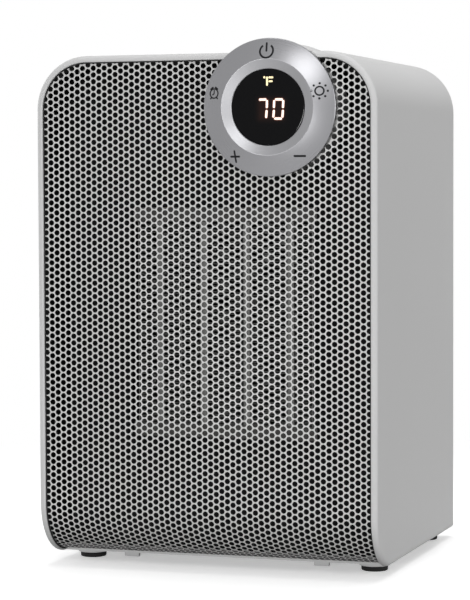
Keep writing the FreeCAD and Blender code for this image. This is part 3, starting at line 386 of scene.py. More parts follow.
off_x = beyond(x, DIGITS_MIDDLE[0], DIGITS_HALF[0])
off_z = beyond(z, DIGITS_MIDDLE[1], DIGITS_HALF[1])
glow = place.math("MAXIMUM", 1 - off_x.hypot(off_z) * (1 / (GLOW_REACH * MM))) ** GLOW_FALL
dust = place.noise(900)
close_finish(place, {
    "Base Color": dust.blend((0.0025, 0.0025, 0.003, 1), (0.0045, 0.0045, 0.005, 1)),
    "Roughness": 0.05 + dust * 0.05,
    "Specular IOR Level": 0.07,
    "Emission Color": glow.blend(grey(0.0), (0.016, 0.006, 0.004, 1)),
    "Emission Strength": 1.0,
})
print("window finish ready")

# %% Lights and ink
def lit(name, core, edge, strength, base):
    place = start_finish(name)
    close_finish(place, {
        "Base Color": base,
        "Roughness": 0.5,
        "Emission Color": place.noise(700).blend(edge, core),
        "Emission Strength": strength,
    })


DIFFUSER = (0.4, 0.38, 0.34, 1)
lit("digit_light", (1.0, 0.97, 0.90, 1), (1.0, 0.86, 0.72, 1), 1.15, DIFFUSER)
lit("unit_light", (1.0, 0.86, 0.42, 1), (0.95, 0.72, 0.25, 1), 1.0, DIFFUSER)
lit("halo_light", (0.50, 0.17, 0.09, 1), (0.36, 0.11, 0.06, 1), 1.0, (0.02, 0.012, 0.01, 1))

place = start_finish("sign_ink")
speck = place.noise(3000)
close_finish(place, {
    "Base Color": speck.blend((0.008, 0.008, 0.009, 1), (0.020, 0.020, 0.022, 1)),
    "Roughness": 0.65 + speck * 0.15,
    "Specular IOR Level": 0.1,
})
print("all finishes", len(FINISHES))

# %% [markdown]
# Every solid has a slot that says what it is made of. Going by it dresses the whole inside, which shows
# faintly behind the grille, in one loop. Only the fins differ: their foil is darker and duller than the
# tubes, which are near black too; that darkness is painted shade for the dim inside of the case.

# %% Finish every solid by its slot
for part in frame["record"]["subparts"]:
    finish = "fin_painted_shade" if part["node"] == "heater_fins" else part["material_slot"]
    solid = frame["nodes"][part["node"]]
    solid.data.materials.clear()
    solid.data.materials.append(FINISHES[finish])

# %% [markdown]
# Pieces are modelled in millimetres and shrunk to metres when they are done. Three tools do most of the
# shaping: chain draws a row of edges, push extrudes it, and turn spins it round an axis.

# %% Modelling tools
WELD = 0.0005
ALONG_X = Vector((1, 0, 0))
ALONG_Y = Vector((0, 1, 0))
ALONG_Z = Vector((0, 0, 1))


def edges_of(geometry):
    return [item for item in geometry if isinstance(item, bmesh.types.BMEdge)]


def verts_of(geometry):
    return [item for item in geometry if isinstance(item, bmesh.types.BMVert)]


def ends_of(edges):
    return list(dict.fromkeys(vert for edge in edges for vert in edge.verts))


def open_edges(bm):
    return [edge for edge in bm.edges if len(edge.link_faces) == 1]


def cap(bm):
    """Closes every hole with a face."""
    bmesh.ops.holes_fill(bm, edges=open_edges(bm), sides=0)


def drop(bm, faces):
    bmesh.ops.delete(bm, geom=faces, context="FACES")


def weld(bm):
    bmesh.ops.remove_doubles(bm, verts=bm.verts, dist=WELD)


def chain(bm, points, closed=False):
    verts = [bm.verts.new(point) for point in points]
    following = verts[1:] + verts[:1] if closed else verts[1:]
    return [bm.edges.new(pair) for pair in zip(verts, following)]


def push(bm, edges, offset):
    """Extrudes the edges by an offset and gives the new edges at its end."""
    made = bmesh.ops.extrude_edge_only(bm, edges=edges)["geom"]
    fresh = set(verts_of(made))
    bmesh.ops.translate(bm, vec=offset, verts=list(fresh))
    return [edge for edge in edges_of(made) if edge.verts[0] in fresh and edge.verts[1] in fresh]


def turn(bm, edges, centre, axis, degrees, steps):
    """Spins the edges about an axis, joins a full turn up, and gives the edges at its end."""
    made = bmesh.ops.spin(bm, geom=edges + ends_of(edges), cent=centre, axis=axis, steps=steps,
                          angle=math.radians(degrees), use_merge=degrees == 360)
    return edges_of(made["geom_last"])


print("modelling tools ready")

# %% Close a piece
def done(bm, name, slot, nodes=(), body="heater", finishes=(), sharp=35, smooth=True):
    """Makes a piece of a model, in metres and facing outwards; a piece without a body is left unattached."""
    weld(bm)
    bmesh.ops.recalc_face_normals(bm, faces=bm.faces)
    bmesh.ops.scale(bm, vec=(MM, MM, MM), verts=bm.verts)
    mesh = bpy.data.meshes.new(name)
    bm.to_mesh(mesh)
    bm.free()
    if smooth:
        mesh.shade_smooth()
    mesh.set_sharp_from_angle(angle=math.radians(sharp))
    for finish in finishes or [slot]:
        mesh.materials.append(FINISHES[finish])
    piece = bpy.data.objects.new(name, mesh)
    scene.collection.objects.link(piece)
    if body:
        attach(piece, body)
    if nodes:
        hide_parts(*nodes)
    print(name, "faces", len(mesh.polygons), "size", [round(side / MM, 1) for side in piece.dimensions])
    return piece


print("pieces can be closed")

# %% [markdown]
# The casing is one sheet that runs up one side, over the top and down the other, with a rounded rim that
# follows the roll at the foot. A block with bevelled edges could not give that rim, so its cut outline is
# swept: spun at the bends and pushed along the straights. The walls are pulled back from the rim's edges,
# and the lower rear corner is rounded with flat cuts.

# %% Casing: sweep the rim
CORNER = 30.0
ROLL = 31.0
RIM = 3.7
RIM_DEPTH = 12.0
RIM_ROUND = 2.6
RIM_STEPS = 7
WALL = 2.4
SOFT_EDGE = 0.5
ROLL_STEPS = 14
CORNER_STEPS = 18
LIP = FRONT + ROLL
ROLL_LEVEL = CASE_BOTTOM + ROLL
CORNER_LEVEL = CASE_TOP - CORNER
CORNER_X = HALF_WIDTH - CORNER


def sweep_front(bm, outline, closed=False):
    """Sweeps an outline, given as distances in from the side and back from the front, and gives its ends."""
    first = chain(bm, [(HALF_WIDTH - inward, LIP, CASE_BOTTOM + deep) for inward, deep in outline], closed)
    row = turn(bm, first, (0, LIP, ROLL_LEVEL), ALONG_X, -90, ROLL_STEPS)
    row = push(bm, row, (0, 0, CORNER_LEVEL - ROLL_LEVEL))
    row = turn(bm, row, (CORNER_X, 0, CORNER_LEVEL), ALONG_Y, -90, CORNER_STEPS)
    row = push(bm, row, (-2 * CORNER_X, 0, 0))
    row = turn(bm, row, (-CORNER_X, 0, CORNER_LEVEL), ALONG_Y, -90, CORNER_STEPS)
    row = push(bm, row, (0, 0, ROLL_LEVEL - CORNER_LEVEL))
    return first, turn(bm, row, (0, LIP, ROLL_LEVEL), ALONG_X, 90, ROLL_STEPS)


rim_outline = [(WALL, RIM_DEPTH), (RIM, RIM_DEPTH), (RIM, SOFT_EDGE),
               (RIM - SOFT_EDGE * 0.3, SOFT_EDGE * 0.3), (RIM - SOFT_EDGE, 0)]
for step in range(RIM_STEPS + 1):
    angle = math.pi / 2 * step / RIM_STEPS
    rim_outline.append((RIM_ROUND * (1 - math.sin(angle)), RIM_ROUND * (1 - math.cos(angle))))
casing = bmesh.new()
start, last = sweep_front(casing, rim_outline)
print("rim faces", len(casing.faces))

# %% Casing: walls and lower edges
NEAR = 0.01
STEP_BACK = 0.3


def depth_in(vert):
    """How far a point lies from the case's upright middle box, which is CORNER at the outer wall."""
    return math.hypot(max(abs(vert.co.x) - CORNER_X, 0), max(vert.co.z - CORNER_LEVEL, 0))


for deep in (CORNER, CORNER - WALL):
    wall = [edge for edge in open_edges(casing)
            if all(abs(depth_in(vert) - deep) < NEAR for vert in edge.verts)]
    for vert in verts_of(bmesh.ops.extrude_edge_only(casing, edges=wall)["geom"]):
        vert.co.y = BACK
for side, section in ((1, start), (-1, last)):
    row = push(casing, section, (0, STEP_BACK, 0))
    for vert in ends_of(row):
        vert.co.x = side * max(abs(vert.co.x), HALF_WIDTH - WALL)
    push(casing, row, (0, BACK - LIP - STEP_BACK, 0))
weld(casing)
cap(casing)
print("walled casing faces", len(casing.faces))

# %% Casing: tail and rear edge
TAIL_ROUND = 3.0
TAIL_CUTS = (22.5, 45.0, 67.5)
REAR_EDGE = 0.9


def cut(bm, place, facing, trim=False):
    """Divides a model along a plane, or trims it there."""
    geometry = bm.verts[:] + bm.edges[:] + bm.faces[:]
    bmesh.ops.bisect_plane(bm, geom=geometry, dist=0.0001, plane_co=place, plane_no=facing, clear_outer=trim)


def round_tail(bm):
    for degrees in TAIL_CUTS:
        outward = Vector((0, math.cos(math.radians(degrees)), -math.sin(math.radians(degrees))))
        touch = Vector((0, BACK - TAIL_ROUND, CASE_BOTTOM + TAIL_ROUND)) + outward * TAIL_ROUND
        cut(bm, touch, outward, trim=True)
        cap(bm)


def bevel(bm, edges, width, segments=3, clamp=True):
    bmesh.ops.bevel(bm, geom=edges, offset=width, segments=segments, profile=0.5, affect="EDGES", material=-1,
                    clamp_overlap=clamp)


round_tail(casing)
rear = [edge for edge in casing.edges
        if all(vert.co.y > BACK - NEAR and depth_in(vert) > CORNER - NEAR for vert in edge.verts)]
bevel(casing, rear, REAR_EDGE, clamp=False)
print("casing faces", len(casing.faces), "open edges", len(open_edges(casing)))

# %% [markdown]
# Behind the dial the casing swells into a low bump. Its outline is three arcs, so that it leaves the top
# without a crease. Each arc is one vertex spun about its centre, and the outline is then pushed back and
# sunk until it dies into the top. A turned sleeve closes the case round the dial.

# %% Casing: bump behind the dial
BARREL = 36.7
BUMP_HOLLOW = 10.0
BUMP_STRAIGHT = 40.0
BUMP_SLOPE = 56.0
BUMP_SINK = 1.0
HOLLOW_STEPS = 6
ROUND_STEPS = 24
SLOPE_STEPS = 14
SLOPE_EASE = 0.35


def swing(bm, tip, centre, degrees, steps):
    """Draws an arc with one vertex, about an axis along Y, and gives its end."""
    made = bmesh.ops.spin(bm, geom=tip, cent=centre, axis=ALONG_Y, angle=math.radians(degrees), steps=steps)
    return verts_of(made["geom_last"])


def join(bm, other):
    """Adds a second model's faces to the first."""
    mesh = bpy.data.meshes.new("joined")
    other.to_mesh(mesh)
    other.free()
    bm.from_mesh(mesh)
    bpy.data.meshes.remove(mesh)


climb = CASE_TOP - dial.z + BUMP_HOLLOW
foot_x = math.sqrt((BARREL + BUMP_HOLLOW) ** 2 - climb ** 2)
lean = math.degrees(math.atan2(foot_x, climb))
bump = bmesh.new()
tip = [bump.verts.new((dial.x - foot_x, FRONT, CASE_TOP))]
tip = swing(bump, tip, (dial.x - foot_x, FRONT, CASE_TOP + BUMP_HOLLOW), -lean, HOLLOW_STEPS)
tip = swing(bump, tip, dial, 2 * lean, ROUND_STEPS)
swing(bump, tip, (dial.x + foot_x, FRONT, CASE_TOP + BUMP_HOLLOW), -lean, HOLLOW_STEPS)
row = push(bump, list(bump.edges), (0, BUMP_STRAIGHT, 0))
height_before = 1.0
for step in range(1, SLOPE_STEPS + 1):
    share = step / SLOPE_STEPS
    height = 0.5 * (1 + math.cos(math.pi * share)) * SLOPE_EASE + (1 - share) * (1 - SLOPE_EASE)
    row = push(bump, row, (0, BUMP_SLOPE / SLOPE_STEPS, 0))
    for vert in ends_of(row):
        vert.co.z = CASE_TOP + (vert.co.z - CASE_TOP) * height / height_before
    height_before = height
for vert in verts_of(bmesh.ops.extrude_edge_only(bump, edges=open_edges(bump))["geom"]):
    vert.co.z = CASE_TOP - BUMP_SINK
weld(bump)
cap(bump)
bmesh.ops.recalc_face_normals(bump, faces=bump.faces)
join(casing, bump)
print("bump added, faces", len(casing.faces))

# %% Casing: sleeve behind the dial
SLEEVE_WALL = 2.4
SLEEVE_LENGTH = 26.0
SLEEVE_EDGE = 0.3


def lathe(bm, outline, foot, up, steps):
    """Spins an outline of reaches and heights all the way round an axis."""
    edges = chain(bm, [foot + ALONG_X * reach + up * height for reach, height in outline], closed=True)
    turn(bm, edges, foot, up, 360, steps)
    weld(bm)


sleeve = [(BARREL - SLEEVE_WALL, 0), (BARREL - SLEEVE_EDGE, 0), (BARREL, SLEEVE_EDGE),
          (BARREL, SLEEVE_LENGTH), (BARREL - SLEEVE_WALL, SLEEVE_LENGTH)]
lathe(casing, sleeve, dial, ALONG_Y, steps=72)
done(casing, "casing", "case_plastic", ["casing_shell"], sharp=32)

# %% [markdown]
# The grille has more than four thousand holes in staggered columns. Booleans would be slow and leave ragged
# faces. Instead a grid is laid with a vertex at each hole's middle; dissolving it leaves an eight-sided
# cell, which is inset and rounded. The sheet is thickened while it is flat, with near-black painted shade
# on its back and in its holes, and rolled under last. Two pieces share it, so that neither is too heavy.

# %% Grille: lay the grid
PITCH = 3.788
COLUMN = 3.280
COLUMNS = 59
ROWS_DOWN = 43
ROWS_UP = 35
ROWS = ROWS_DOWN + ROWS_UP + 1
SEED_LEVEL = 155.5
SHEET_MARGIN = 0.6
DIAL_LAP = 1.7


def covered(vert):
    """Whether a point lies behind the rim or the dial."""
    from_dial = math.hypot(vert.co.x - dial.x, vert.co.z - dial.z)
    return depth_in(vert) > CORNER - SHEET_MARGIN or from_dial < BARREL - DIAL_LAP


sheet = bmesh.new()
bmesh.ops.create_grid(sheet, x_segments=2 * COLUMNS, y_segments=2 * ROWS, size=0.5)
bmesh.ops.scale(sheet, vec=(COLUMNS * COLUMN, ROWS * PITCH, 1), verts=sheet.verts)
bmesh.ops.rotate(sheet, cent=(0, 0, 0), matrix=Matrix.Rotation(math.pi / 2, 3, "X"), verts=sheet.verts)
bmesh.ops.translate(sheet, vec=(0, 0, SEED_LEVEL + (ROWS_UP - ROWS_DOWN) / 2 * PITCH), verts=sheet.verts)
spare = [face for face in sheet.faces if any(covered(vert) for vert in face.verts)]
drop(sheet, spare)
print("half cells", len(sheet.faces))

# %% Grille: open the holes
HOLE = 1.62
HOLE_MARGIN = 0.7
CELL_INSET = 0.2
EIGHTH = math.pi / 4
hearts = []
for vert in sheet.verts:
    column = round(vert.co.x / COLUMN * 2)
    level = round((vert.co.z - SEED_LEVEL) / PITCH * 2)
    staggered = (column // 2) % 2
    middle = column % 2 == 0 and (level + staggered) % 2 == 0 and len(vert.link_faces) == 4
    if middle and depth_in(vert) <= CORNER - RIM + HOLE_MARGIN:
        hearts.append(vert)
bmesh.ops.dissolve_verts(sheet, verts=hearts)
cells = [face for face in sheet.faces if len(face.verts) == 8]
bmesh.ops.inset_individual(sheet, faces=cells, thickness=CELL_INSET)
for cell in cells:
    heart = cell.calc_center_median()
    for vert in cell.verts:
        spoke = vert.co - heart
        angle = round(math.atan2(spoke.z, spoke.x) / EIGHTH) * EIGHTH
        vert.co = heart + Vector((math.cos(angle), 0, math.sin(angle))) * HOLE
print("grille holes", len(cells))
drop(sheet, cells)

# %% Grille: thickness and roll
MESH_RECESS = 1.8
MESH_THICKNESS = 0.5
MESH_RADIUS = ROLL - MESH_RECESS
SPLIT_LEVEL = SEED_LEVEL - 29.5 * PITCH


def thicken(bm, offset):
    """Extrudes all faces and keeps the first ones, so that a sheet becomes a slab."""
    made = bmesh.ops.extrude_face_region(bm, geom=list(bm.faces), use_keep_orig=True)["geom"]
    bmesh.ops.translate(bm, vec=offset, verts=verts_of(made))


def roll_under(bm):
    """Sets the flat sheet into the case's front, and bends what hangs below the roll's level."""
    for vert in bm.verts:
        over = ROLL_LEVEL - vert.co.z
        radius = MESH_RADIUS - vert.co.y
        if over > 0:
            vert.co.y = LIP - radius * math.cos(over / MESH_RADIUS)
            vert.co.z = ROLL_LEVEL - radius * math.sin(over / MESH_RADIUS)
        else:
            vert.co.y = LIP - radius


for name, side, nodes in (("grille_front", 1, ["front_grille"]), ("grille_roll", -1, [])):
    share = sheet.copy()
    drop(share, [face for face in share.faces if (face.calc_center_median().z - SPLIT_LEVEL) * side < 0])
    painted = set(share.faces)
    thicken(share, (0, MESH_THICKNESS, 0))
    for face in share.faces:
        # Only the front keeps the silver paint; the back and the hole walls get the painted shade
        face.material_index = 0 if face in painted else 1
    roll_under(share)
    done(share, name, "grille_metal", nodes, finishes=["grille_metal", "grille_painted_shade"], sharp=30)
sheet.free()

# %% [markdown]
# A thin dark strip lies between the grille and the rim all the way round: painted shade for the shadow in
# the gap there, made as black rubber. A painted line would never be so sharp, so a narrow strip is swept
# along the rim's own path.

# %% Painted shade: dark strip between grille and rim
SHADE_STRIP_WIDTH = 0.65
SHADE_STRIP_FRONT = 1.0
SHADE_STRIP_SLOPE = 0.1
SHADE_STRIP_BACK = 1.75
shade_strip_outline = [(RIM, SHADE_STRIP_FRONT), (RIM + SHADE_STRIP_WIDTH, SHADE_STRIP_FRONT + SHADE_STRIP_SLOPE), (RIM + SHADE_STRIP_WIDTH, SHADE_STRIP_BACK),
                (RIM, SHADE_STRIP_BACK)]
shade_strip = bmesh.new()
sweep_front(shade_strip, shade_strip_outline, closed=True)
cap(shade_strip)
# Black rubber on this strip stands for the shade in the gap: painted shade
done(shade_strip, "grille_shade_strip", "dark_plastic", finishes=["foot_rubber"])

# %% [markdown]
# The ring is a shallow cone, a little bowed, that rises to a crest and falls again in a broad chamfer to
# the window. Ring and window are lathe jobs: one outline spun about the dial's axis. The height of the
# ring's face is a function of its own, because the printed signs have to lie on it.

# %% Dial: ring
RING_GAP = 0.6
RING_EDGE = 2.4
RING_WALL = 2.3
RING_FLOOR = 1.6
RING_BOW = 0.2
PROUD = 6.95
WINDOW = 21.1
WINDOW_SINK = 1.8
LEDGE = WINDOW + 2.55
FACE_EDGE = RING_OUT - 0.35
FACE_STEPS = 10
CREST_ROUND = 0.12


def ring_height(reach):
    """How far the ring's face stands in front of the case at a distance from the dial's axis."""
    low = RING_GAP + RING_EDGE
    if reach <= CREST:
        return PROUD - WINDOW_SINK * (CREST - reach) / (CREST - WINDOW)
    share = min((RING_OUT - reach) / (RING_OUT - CREST), 1.0)
    return low + (PROUD - low) * share + RING_BOW * 4 * share * (1 - share)


face_run = FACE_EDGE - CREST - CREST_ROUND
ring_face = [FACE_EDGE - face_run * step / FACE_STEPS for step in range(FACE_STEPS + 1)]
window_seat = PROUD - WINDOW_SINK - 1.2
ring_outline = [(RING_OUT - RING_WALL, RING_GAP), (RING_OUT - 0.3, RING_GAP), (RING_OUT, RING_GAP + 0.3),
                (RING_OUT, RING_GAP + RING_EDGE - 0.35), (RING_OUT - 0.1, ring_height(RING_OUT - 0.1) - 0.1)]
ring_outline += [(reach, ring_height(reach)) for reach in ring_face + [CREST - CREST_ROUND, WINDOW + 0.3]]
ring_outline += [(WINDOW, ring_height(WINDOW) - 0.15), (WINDOW, window_seat), (LEDGE, window_seat),
                 (LEDGE, RING_FLOOR), (RING_OUT - RING_WALL, RING_FLOOR)]
ring = bmesh.new()
lathe(ring, ring_outline, dial, -ALONG_Y, steps=128)
done(ring, "dial_ring", "ring_metal", ["control_ring"], sharp=16)

# %% Dial: window
window_face = PROUD - WINDOW_SINK - 0.25
window_rim = WINDOW - 0.12
flange = WINDOW + 2.3
window_outline = [(0, window_face), (WINDOW - 1.0, window_face), (WINDOW - 0.7, window_face),
                  (WINDOW - 0.3, window_face - 0.1), (window_rim, window_face - 0.4), (window_rim, 4.0),
                  (flange, 4.0), (flange, 2.4), (0, 2.4)]
window = bmesh.new()
lathe(window, window_outline, dial, -ALONG_Y, steps=96)
done(window, "dial_window", "lens_black", ["display_lens"], sharp=40)

# %% [markdown]
# The signs are power, a timer, a sun, plus and minus, built from three marks: a bar with rounded ends, a
# dot and a piece of ring. They start flat, get a hair of thickness, and are laid onto the ring by moving
# each vertex to the height of the face under it.

# %% Marks for signs and digits
INK_THICKNESS = 0.04
BAR_PARTS = 4
BAR_ROUND = 0.46
UPRIGHT = Matrix.Rotation(math.pi / 2, 4, "X")


def bar(bm, first, last, width):
    """A bar with rounded ends from one point to another."""
    run = Vector((last[0] - first[0], 0, last[1] - first[1]))
    middle = Vector(((first[0] + last[0]) / 2, 0, (first[1] + last[1]) / 2))
    made = bmesh.ops.create_grid(bm, x_segments=BAR_PARTS, y_segments=1, size=0.5)["verts"]
    bmesh.ops.scale(bm, vec=(run.length + width, width, 1), verts=made)
    place = Matrix.Translation(middle) @ Matrix.Rotation(-math.atan2(run.z, run.x), 4, "Y") @ UPRIGHT
    corners = [vert for vert in made if len(vert.link_edges) == 2]
    bmesh.ops.transform(bm, matrix=place, verts=made)
    bmesh.ops.bevel(bm, geom=corners, offset=width * BAR_ROUND, segments=3, profile=0.5, affect="VERTICES",
                    material=-1)


def dot(bm, middle, radius):
    made = bmesh.ops.create_circle(bm, cap_ends=True, segments=14, radius=radius)["verts"]
    bmesh.ops.transform(bm, matrix=Matrix.Translation((middle[0], 0, middle[1])) @ UPRIGHT, verts=made)


def hoop(bm, middle, radius, width, first=0, sweep=360, steps=36):
    """A piece of flat ring, from an angle, counted from the right and upwards."""
    centre = Vector((middle[0], 0, middle[1]))
    spoke = Vector((math.cos(math.radians(first)), 0, math.sin(math.radians(first))))
    edges = chain(bm, [centre + spoke * (radius - width / 2), centre + spoke * (radius + width / 2)])
    turn(bm, edges, centre, -ALONG_Y, sweep, steps)


def lay_on(bm, height):
    """Thickens flat marks and lays them on a face whose height is a function of the reach."""
    thicken(bm, (0, -INK_THICKNESS, 0))
    for vert in bm.verts:
        vert.co.y -= height(math.hypot(vert.co.x, vert.co.z))
    bmesh.ops.translate(bm, vec=dial, verts=bm.verts)


print("marks ready")

# %% Signs on the ring
STROKE = 1.05
TIMER = (-31.1, 7.9)
SUN = (29.5, 8.4)
signs = bmesh.new()
hoop(signs, (-0.6, 30.6), 3.75, STROKE, first=127, sweep=286, steps=30)
bar(signs, (-0.85, 34.9), (-0.6, 30.7), STROKE)
hoop(signs, TIMER, 2.55, 0.74)
bar(signs, (-31.0, 9.6), (-31.1, 7.8), 0.66)
bar(signs, (-31.1, 7.8), (-32.0, 7.2), 0.66)
for side in (-1, 1):
    bar(signs, (TIMER[0] + side * 0.9, 11.2), (TIMER[0] + side * 2.1, 10.3), 1.0)
    bar(signs, (TIMER[0] + side * 1.7, 5.7), (TIMER[0] + side * 2.2, 5.1), 0.8)
hoop(signs, SUN, 2.3, 0.85)
for step in range(8):
    dot(signs, (SUN[0] + 4.3 * math.cos(EIGHTH * step), SUN[1] + 4.1 * math.sin(EIGHTH * step)), 0.62)
bar(signs, (-21.6, -26.85), (-16.6, -26.85), STROKE)
bar(signs, (-19.3, -23.9), (-18.8, -29.8), STROKE)
bar(signs, (15.3, -26.8), (20.9, -26.8), 1.1)
lay_on(signs, ring_height)
done(signs, "dial_signs", "dark_plastic", finishes=["sign_ink"], sharp=50)

# %% [markdown]
# The display shows two numerals made of straight lit segments, leaning a little, and a small unit sign.
# Segments stop short of the corners, as on such displays. They lie a hair in front of the window, so no
# glass has to be traced through, and a wider copy behind them makes the halo.

# %% Display numerals
SEGMENT = 1.10
HALO = 0.55
SEVEN = [((-4.6, 4.2), (-1.5, 4.2)), ((-0.62, 3.3), (-0.72, 0.1)), ((-0.85, -2.1), (-1.1, -5.3))]
NOUGHT = [((4.55, 4.15), (7.9, 4.1)), ((3.5, 3.2), (3.36, 0.1)), ((8.7, 3.15), (8.55, 0.05)),
          ((3.3, -2.1), (3.05, -5.1)), ((8.45, -2.15), (8.2, -5.2)), ((4.1, -6.25), (7.3, -6.3))]


def show(name, finish, bars, sink=0.0, dots=()):
    """Lays lit bars and dots on the window."""
    marks = bmesh.new()
    for middle, radius in dots:
        dot(marks, middle, radius)
    for first, last, width in bars:
        bar(marks, first, last, width)
    lay_on(marks, lambda reach: window_face - sink)
    done(marks, name, "digit_light", finishes=[finish], sharp=50)


show("display_digits", "digit_light", [(*ends, SEGMENT) for ends in SEVEN + NOUGHT])
show("digit_halo", "halo_light", [(*ends, SEGMENT + HALO) for ends in SEVEN + NOUGHT], INK_THICKNESS / 2)
unit = [((-0.55, 16.2), (-0.55, 12.2), 1.05), ((0.75, 16.2), (2.5, 16.2), 1.05),
        ((0.75, 14.1), (2.2, 14.1), 0.95)]
show("display_unit", "unit_light", unit, dots=[((-2.1, 16.3), 0.62)])

# %% [markdown]
# The four feet are soft rubber pads on stems that are pulled through the base. They are turned too, with a
# rounded sole that is hollowed a little so that it grips.

# %% Rubber feet
FOOT = 7.6
FOOT_HEIGHT = 3.0
foot_outline = [(0, 0.3), (4.6, 0.3), (5.2, 0), (6.8, 0), (7.35, 0.22), (FOOT, 0.8), (FOOT, 2.6),
                (7.4, FOOT_HEIGHT), (2.5, FOOT_HEIGHT), (2.5, 7.9), (3.5, 7.9), (3.3, 9.3), (0, 9.4)]


def upright_axis(node):
    """The point on the floor below the middle of a solid."""
    low, high = corners_of(node)
    return Vector(((low.x + high.x) / 2, (low.y + high.y) / 2, 0))


for node in ("foot_front_left", "foot_front_right", "foot_rear_left", "foot_rear_right"):
    foot = bmesh.new()
    lathe(foot, foot_outline, upright_axis(node), ALONG_Z, steps=40)
    done(foot, "pad_" + node, "foot_rubber", [node])

# %% [markdown]
# The back panel is one moulded sheet with two banks of slots, a hollow grip and openings for switch and
# cord. Cutting boxes out of a block would leave stray edges, so it starts as one flat face. Straight cuts
# divide it along every opening's edges, and the cells on an opening are taken out.

# %% Back panel: outline
PANEL_STEPS = 16
PANEL_RISE = CORNER_LEVEL - CASE_BOTTOM


def draw_to(bm, tip, offset):
    """Draws a straight edge with one vertex and gives its end."""
    made = verts_of(bmesh.ops.extrude_vert_indiv(bm, verts=tip)["verts"])
    bmesh.ops.translate(bm, vec=offset, verts=made)
    return made


panel = bmesh.new()
tip = [panel.verts.new((cover_high.x, BACK, CASE_BOTTOM))]
tip = draw_to(panel, tip, (0, 0, PANEL_RISE))
tip = swing(panel, tip, (CORNER_X, BACK, CORNER_LEVEL), -90, PANEL_STEPS)
tip = draw_to(panel, tip, (-2 * CORNER_X, 0, 0))
tip = swing(panel, tip, (-CORNER_X, BACK, CORNER_LEVEL), -90, PANEL_STEPS)
draw_to(panel, tip, (0, 0, -PANEL_RISE))
bmesh.ops.contextual_create(panel, geom=panel.edges[:] + panel.verts[:])
print("panel outline", len(panel.verts), "corners", len(panel.faces), "face")

# %% Back panel: openings
SLOT_COUNT = 14
SLOT_PITCH = 8.2
SLOT_HALF = 2.1
SLOT_REACH = 59.0
SLOT_RIB = 3.0
GRIP = (-52.0, 52.0, 230.2, 257.2)
GLAND_ROOM = 0.5


def area_of(node, room=0.0):
    """The x and z limits of a solid, with some room round it."""
    low, high = corners_of(node)
    return (low.x - room, high.x + room, low.z - room, high.z + room)


def cells_in(bm, area):
    """The flat sheet's faces between x and z limits."""
    x_low, x_high, z_low, z_high = area
    middles = [(face, face.calc_center_bounds()) for face in bm.faces]
    return [face for face, middle in middles
            if x_low < middle.x < x_high and z_low < middle.z < z_high and middle.y > BACK - NEAR]


fan_level = pivots["fan_spin"].z
slot_levels = [fan_level + (index - (SLOT_COUNT - 1) / 2) * SLOT_PITCH for index in range(SLOT_COUNT)]
banks = [(-SLOT_REACH, -SLOT_RIB), (SLOT_RIB, SLOT_REACH)]
openings = [(*bank, level - SLOT_HALF, level + SLOT_HALF) for level in slot_levels for bank in banks]
openings.append(area_of("rocker_body"))
gland_cell = area_of("cord_gland", GLAND_ROOM)
areas = openings + [GRIP, gland_cell]
for x_at in sorted({limit for area in areas for limit in area[:2]}):
    cut(panel, ALONG_X * x_at, ALONG_X)
for z_at in sorted({limit for area in areas for limit in area[2:]}):
    cut(panel, ALONG_Z * z_at, ALONG_Z)
bmesh.ops.recalc_face_normals(panel, faces=panel.faces)
for area in openings:
    drop(panel, cells_in(panel, area))
print("panel cells", len(panel.faces))

# %% [markdown]
# The grip's cells become one face that is pushed in, and the gland's cell is rounded into a hole. Then the
# sheet gets its thickness, round corners and eased rims, as the mould would give it, and a slanted vane
# behind each slot that keeps fingers and light out.

# %% Back panel: grip, gland hole and thickness
GRIP_DEPTH = 18.4
GLAND_RADIUS = 6.0
GLAND_INSET = 1.5
GLAND_CUTS = 5
PANEL_THICKNESS = 2.4
gland_middle = Vector(((gland_cell[0] + gland_cell[1]) / 2, BACK, (gland_cell[2] + gland_cell[3]) / 2))
hollow = bmesh.ops.dissolve_faces(panel, faces=cells_in(panel, GRIP))["region"]
grip_floor = bmesh.ops.extrude_discrete_faces(panel, faces=hollow)["faces"][0]
bmesh.ops.translate(panel, vec=(0, -GRIP_DEPTH, 0), verts=grip_floor.verts)
cell = bmesh.ops.dissolve_faces(panel, faces=cells_in(panel, gland_cell))["region"]
bmesh.ops.inset_individual(panel, faces=cell, thickness=GLAND_INSET)
bmesh.ops.subdivide_edges(panel, edges=cell[0].edges, cuts=GLAND_CUTS)
for vert in cell[0].verts:
    vert.co = gland_middle + (vert.co - gland_middle).normalized() * GLAND_RADIUS
drop(panel, cell)
bmesh.ops.recalc_face_normals(panel, faces=panel.faces)
if sum(face.normal.y * face.calc_area() for face in panel.faces) < 0:
    bmesh.ops.reverse_faces(panel, faces=panel.faces)
bmesh.ops.solidify(panel, geom=panel.faces[:], thickness=PANEL_THICKNESS)
print("thick panel faces", len(panel.faces))

# %% Back panel: soft edges
SLOT_CORNER = 1.5
PANEL_EDGE = 0.45
PANEL_SHARP = 50
ABOVE_SWITCH = 80


def sharper(edge, degrees):
    return len(edge.link_faces) == 2 and edge.calc_face_angle(0) > math.radians(degrees)


def along_depth(edge):
    run = edge.verts[1].co - edge.verts[0].co
    return abs(run.y) > 0.99 * run.length


corners = [edge for edge in panel.edges if along_depth(edge) and sharper(edge, PANEL_SHARP)
           and abs(edge.verts[0].co.x) < SLOT_REACH + 0.1 and edge.verts[0].co.z > ABOVE_SWITCH]
bevel(panel, corners, SLOT_CORNER, segments=4)
rims = [edge for edge in panel.edges
        if sharper(edge, PANEL_SHARP) and all(vert.co.y > BACK - NEAR for vert in edge.verts)]
bevel(panel, rims, PANEL_EDGE)
round_tail(panel)
print("panel faces", len(panel.faces), "open edges", len(open_edges(panel)))

# %% Back panel: vanes
VANE_SIZE = (2 * SLOT_REACH, 1.0, 6.6, 1.0)
VANE_DEPTH = 5.2
VANE_RISE = 0.2
VANE_SLANT = -45
FLAT_AREA = 30.0
LEVEL_ENOUGH = 0.9999
BEND_RANGE = (0.01, 0.7)


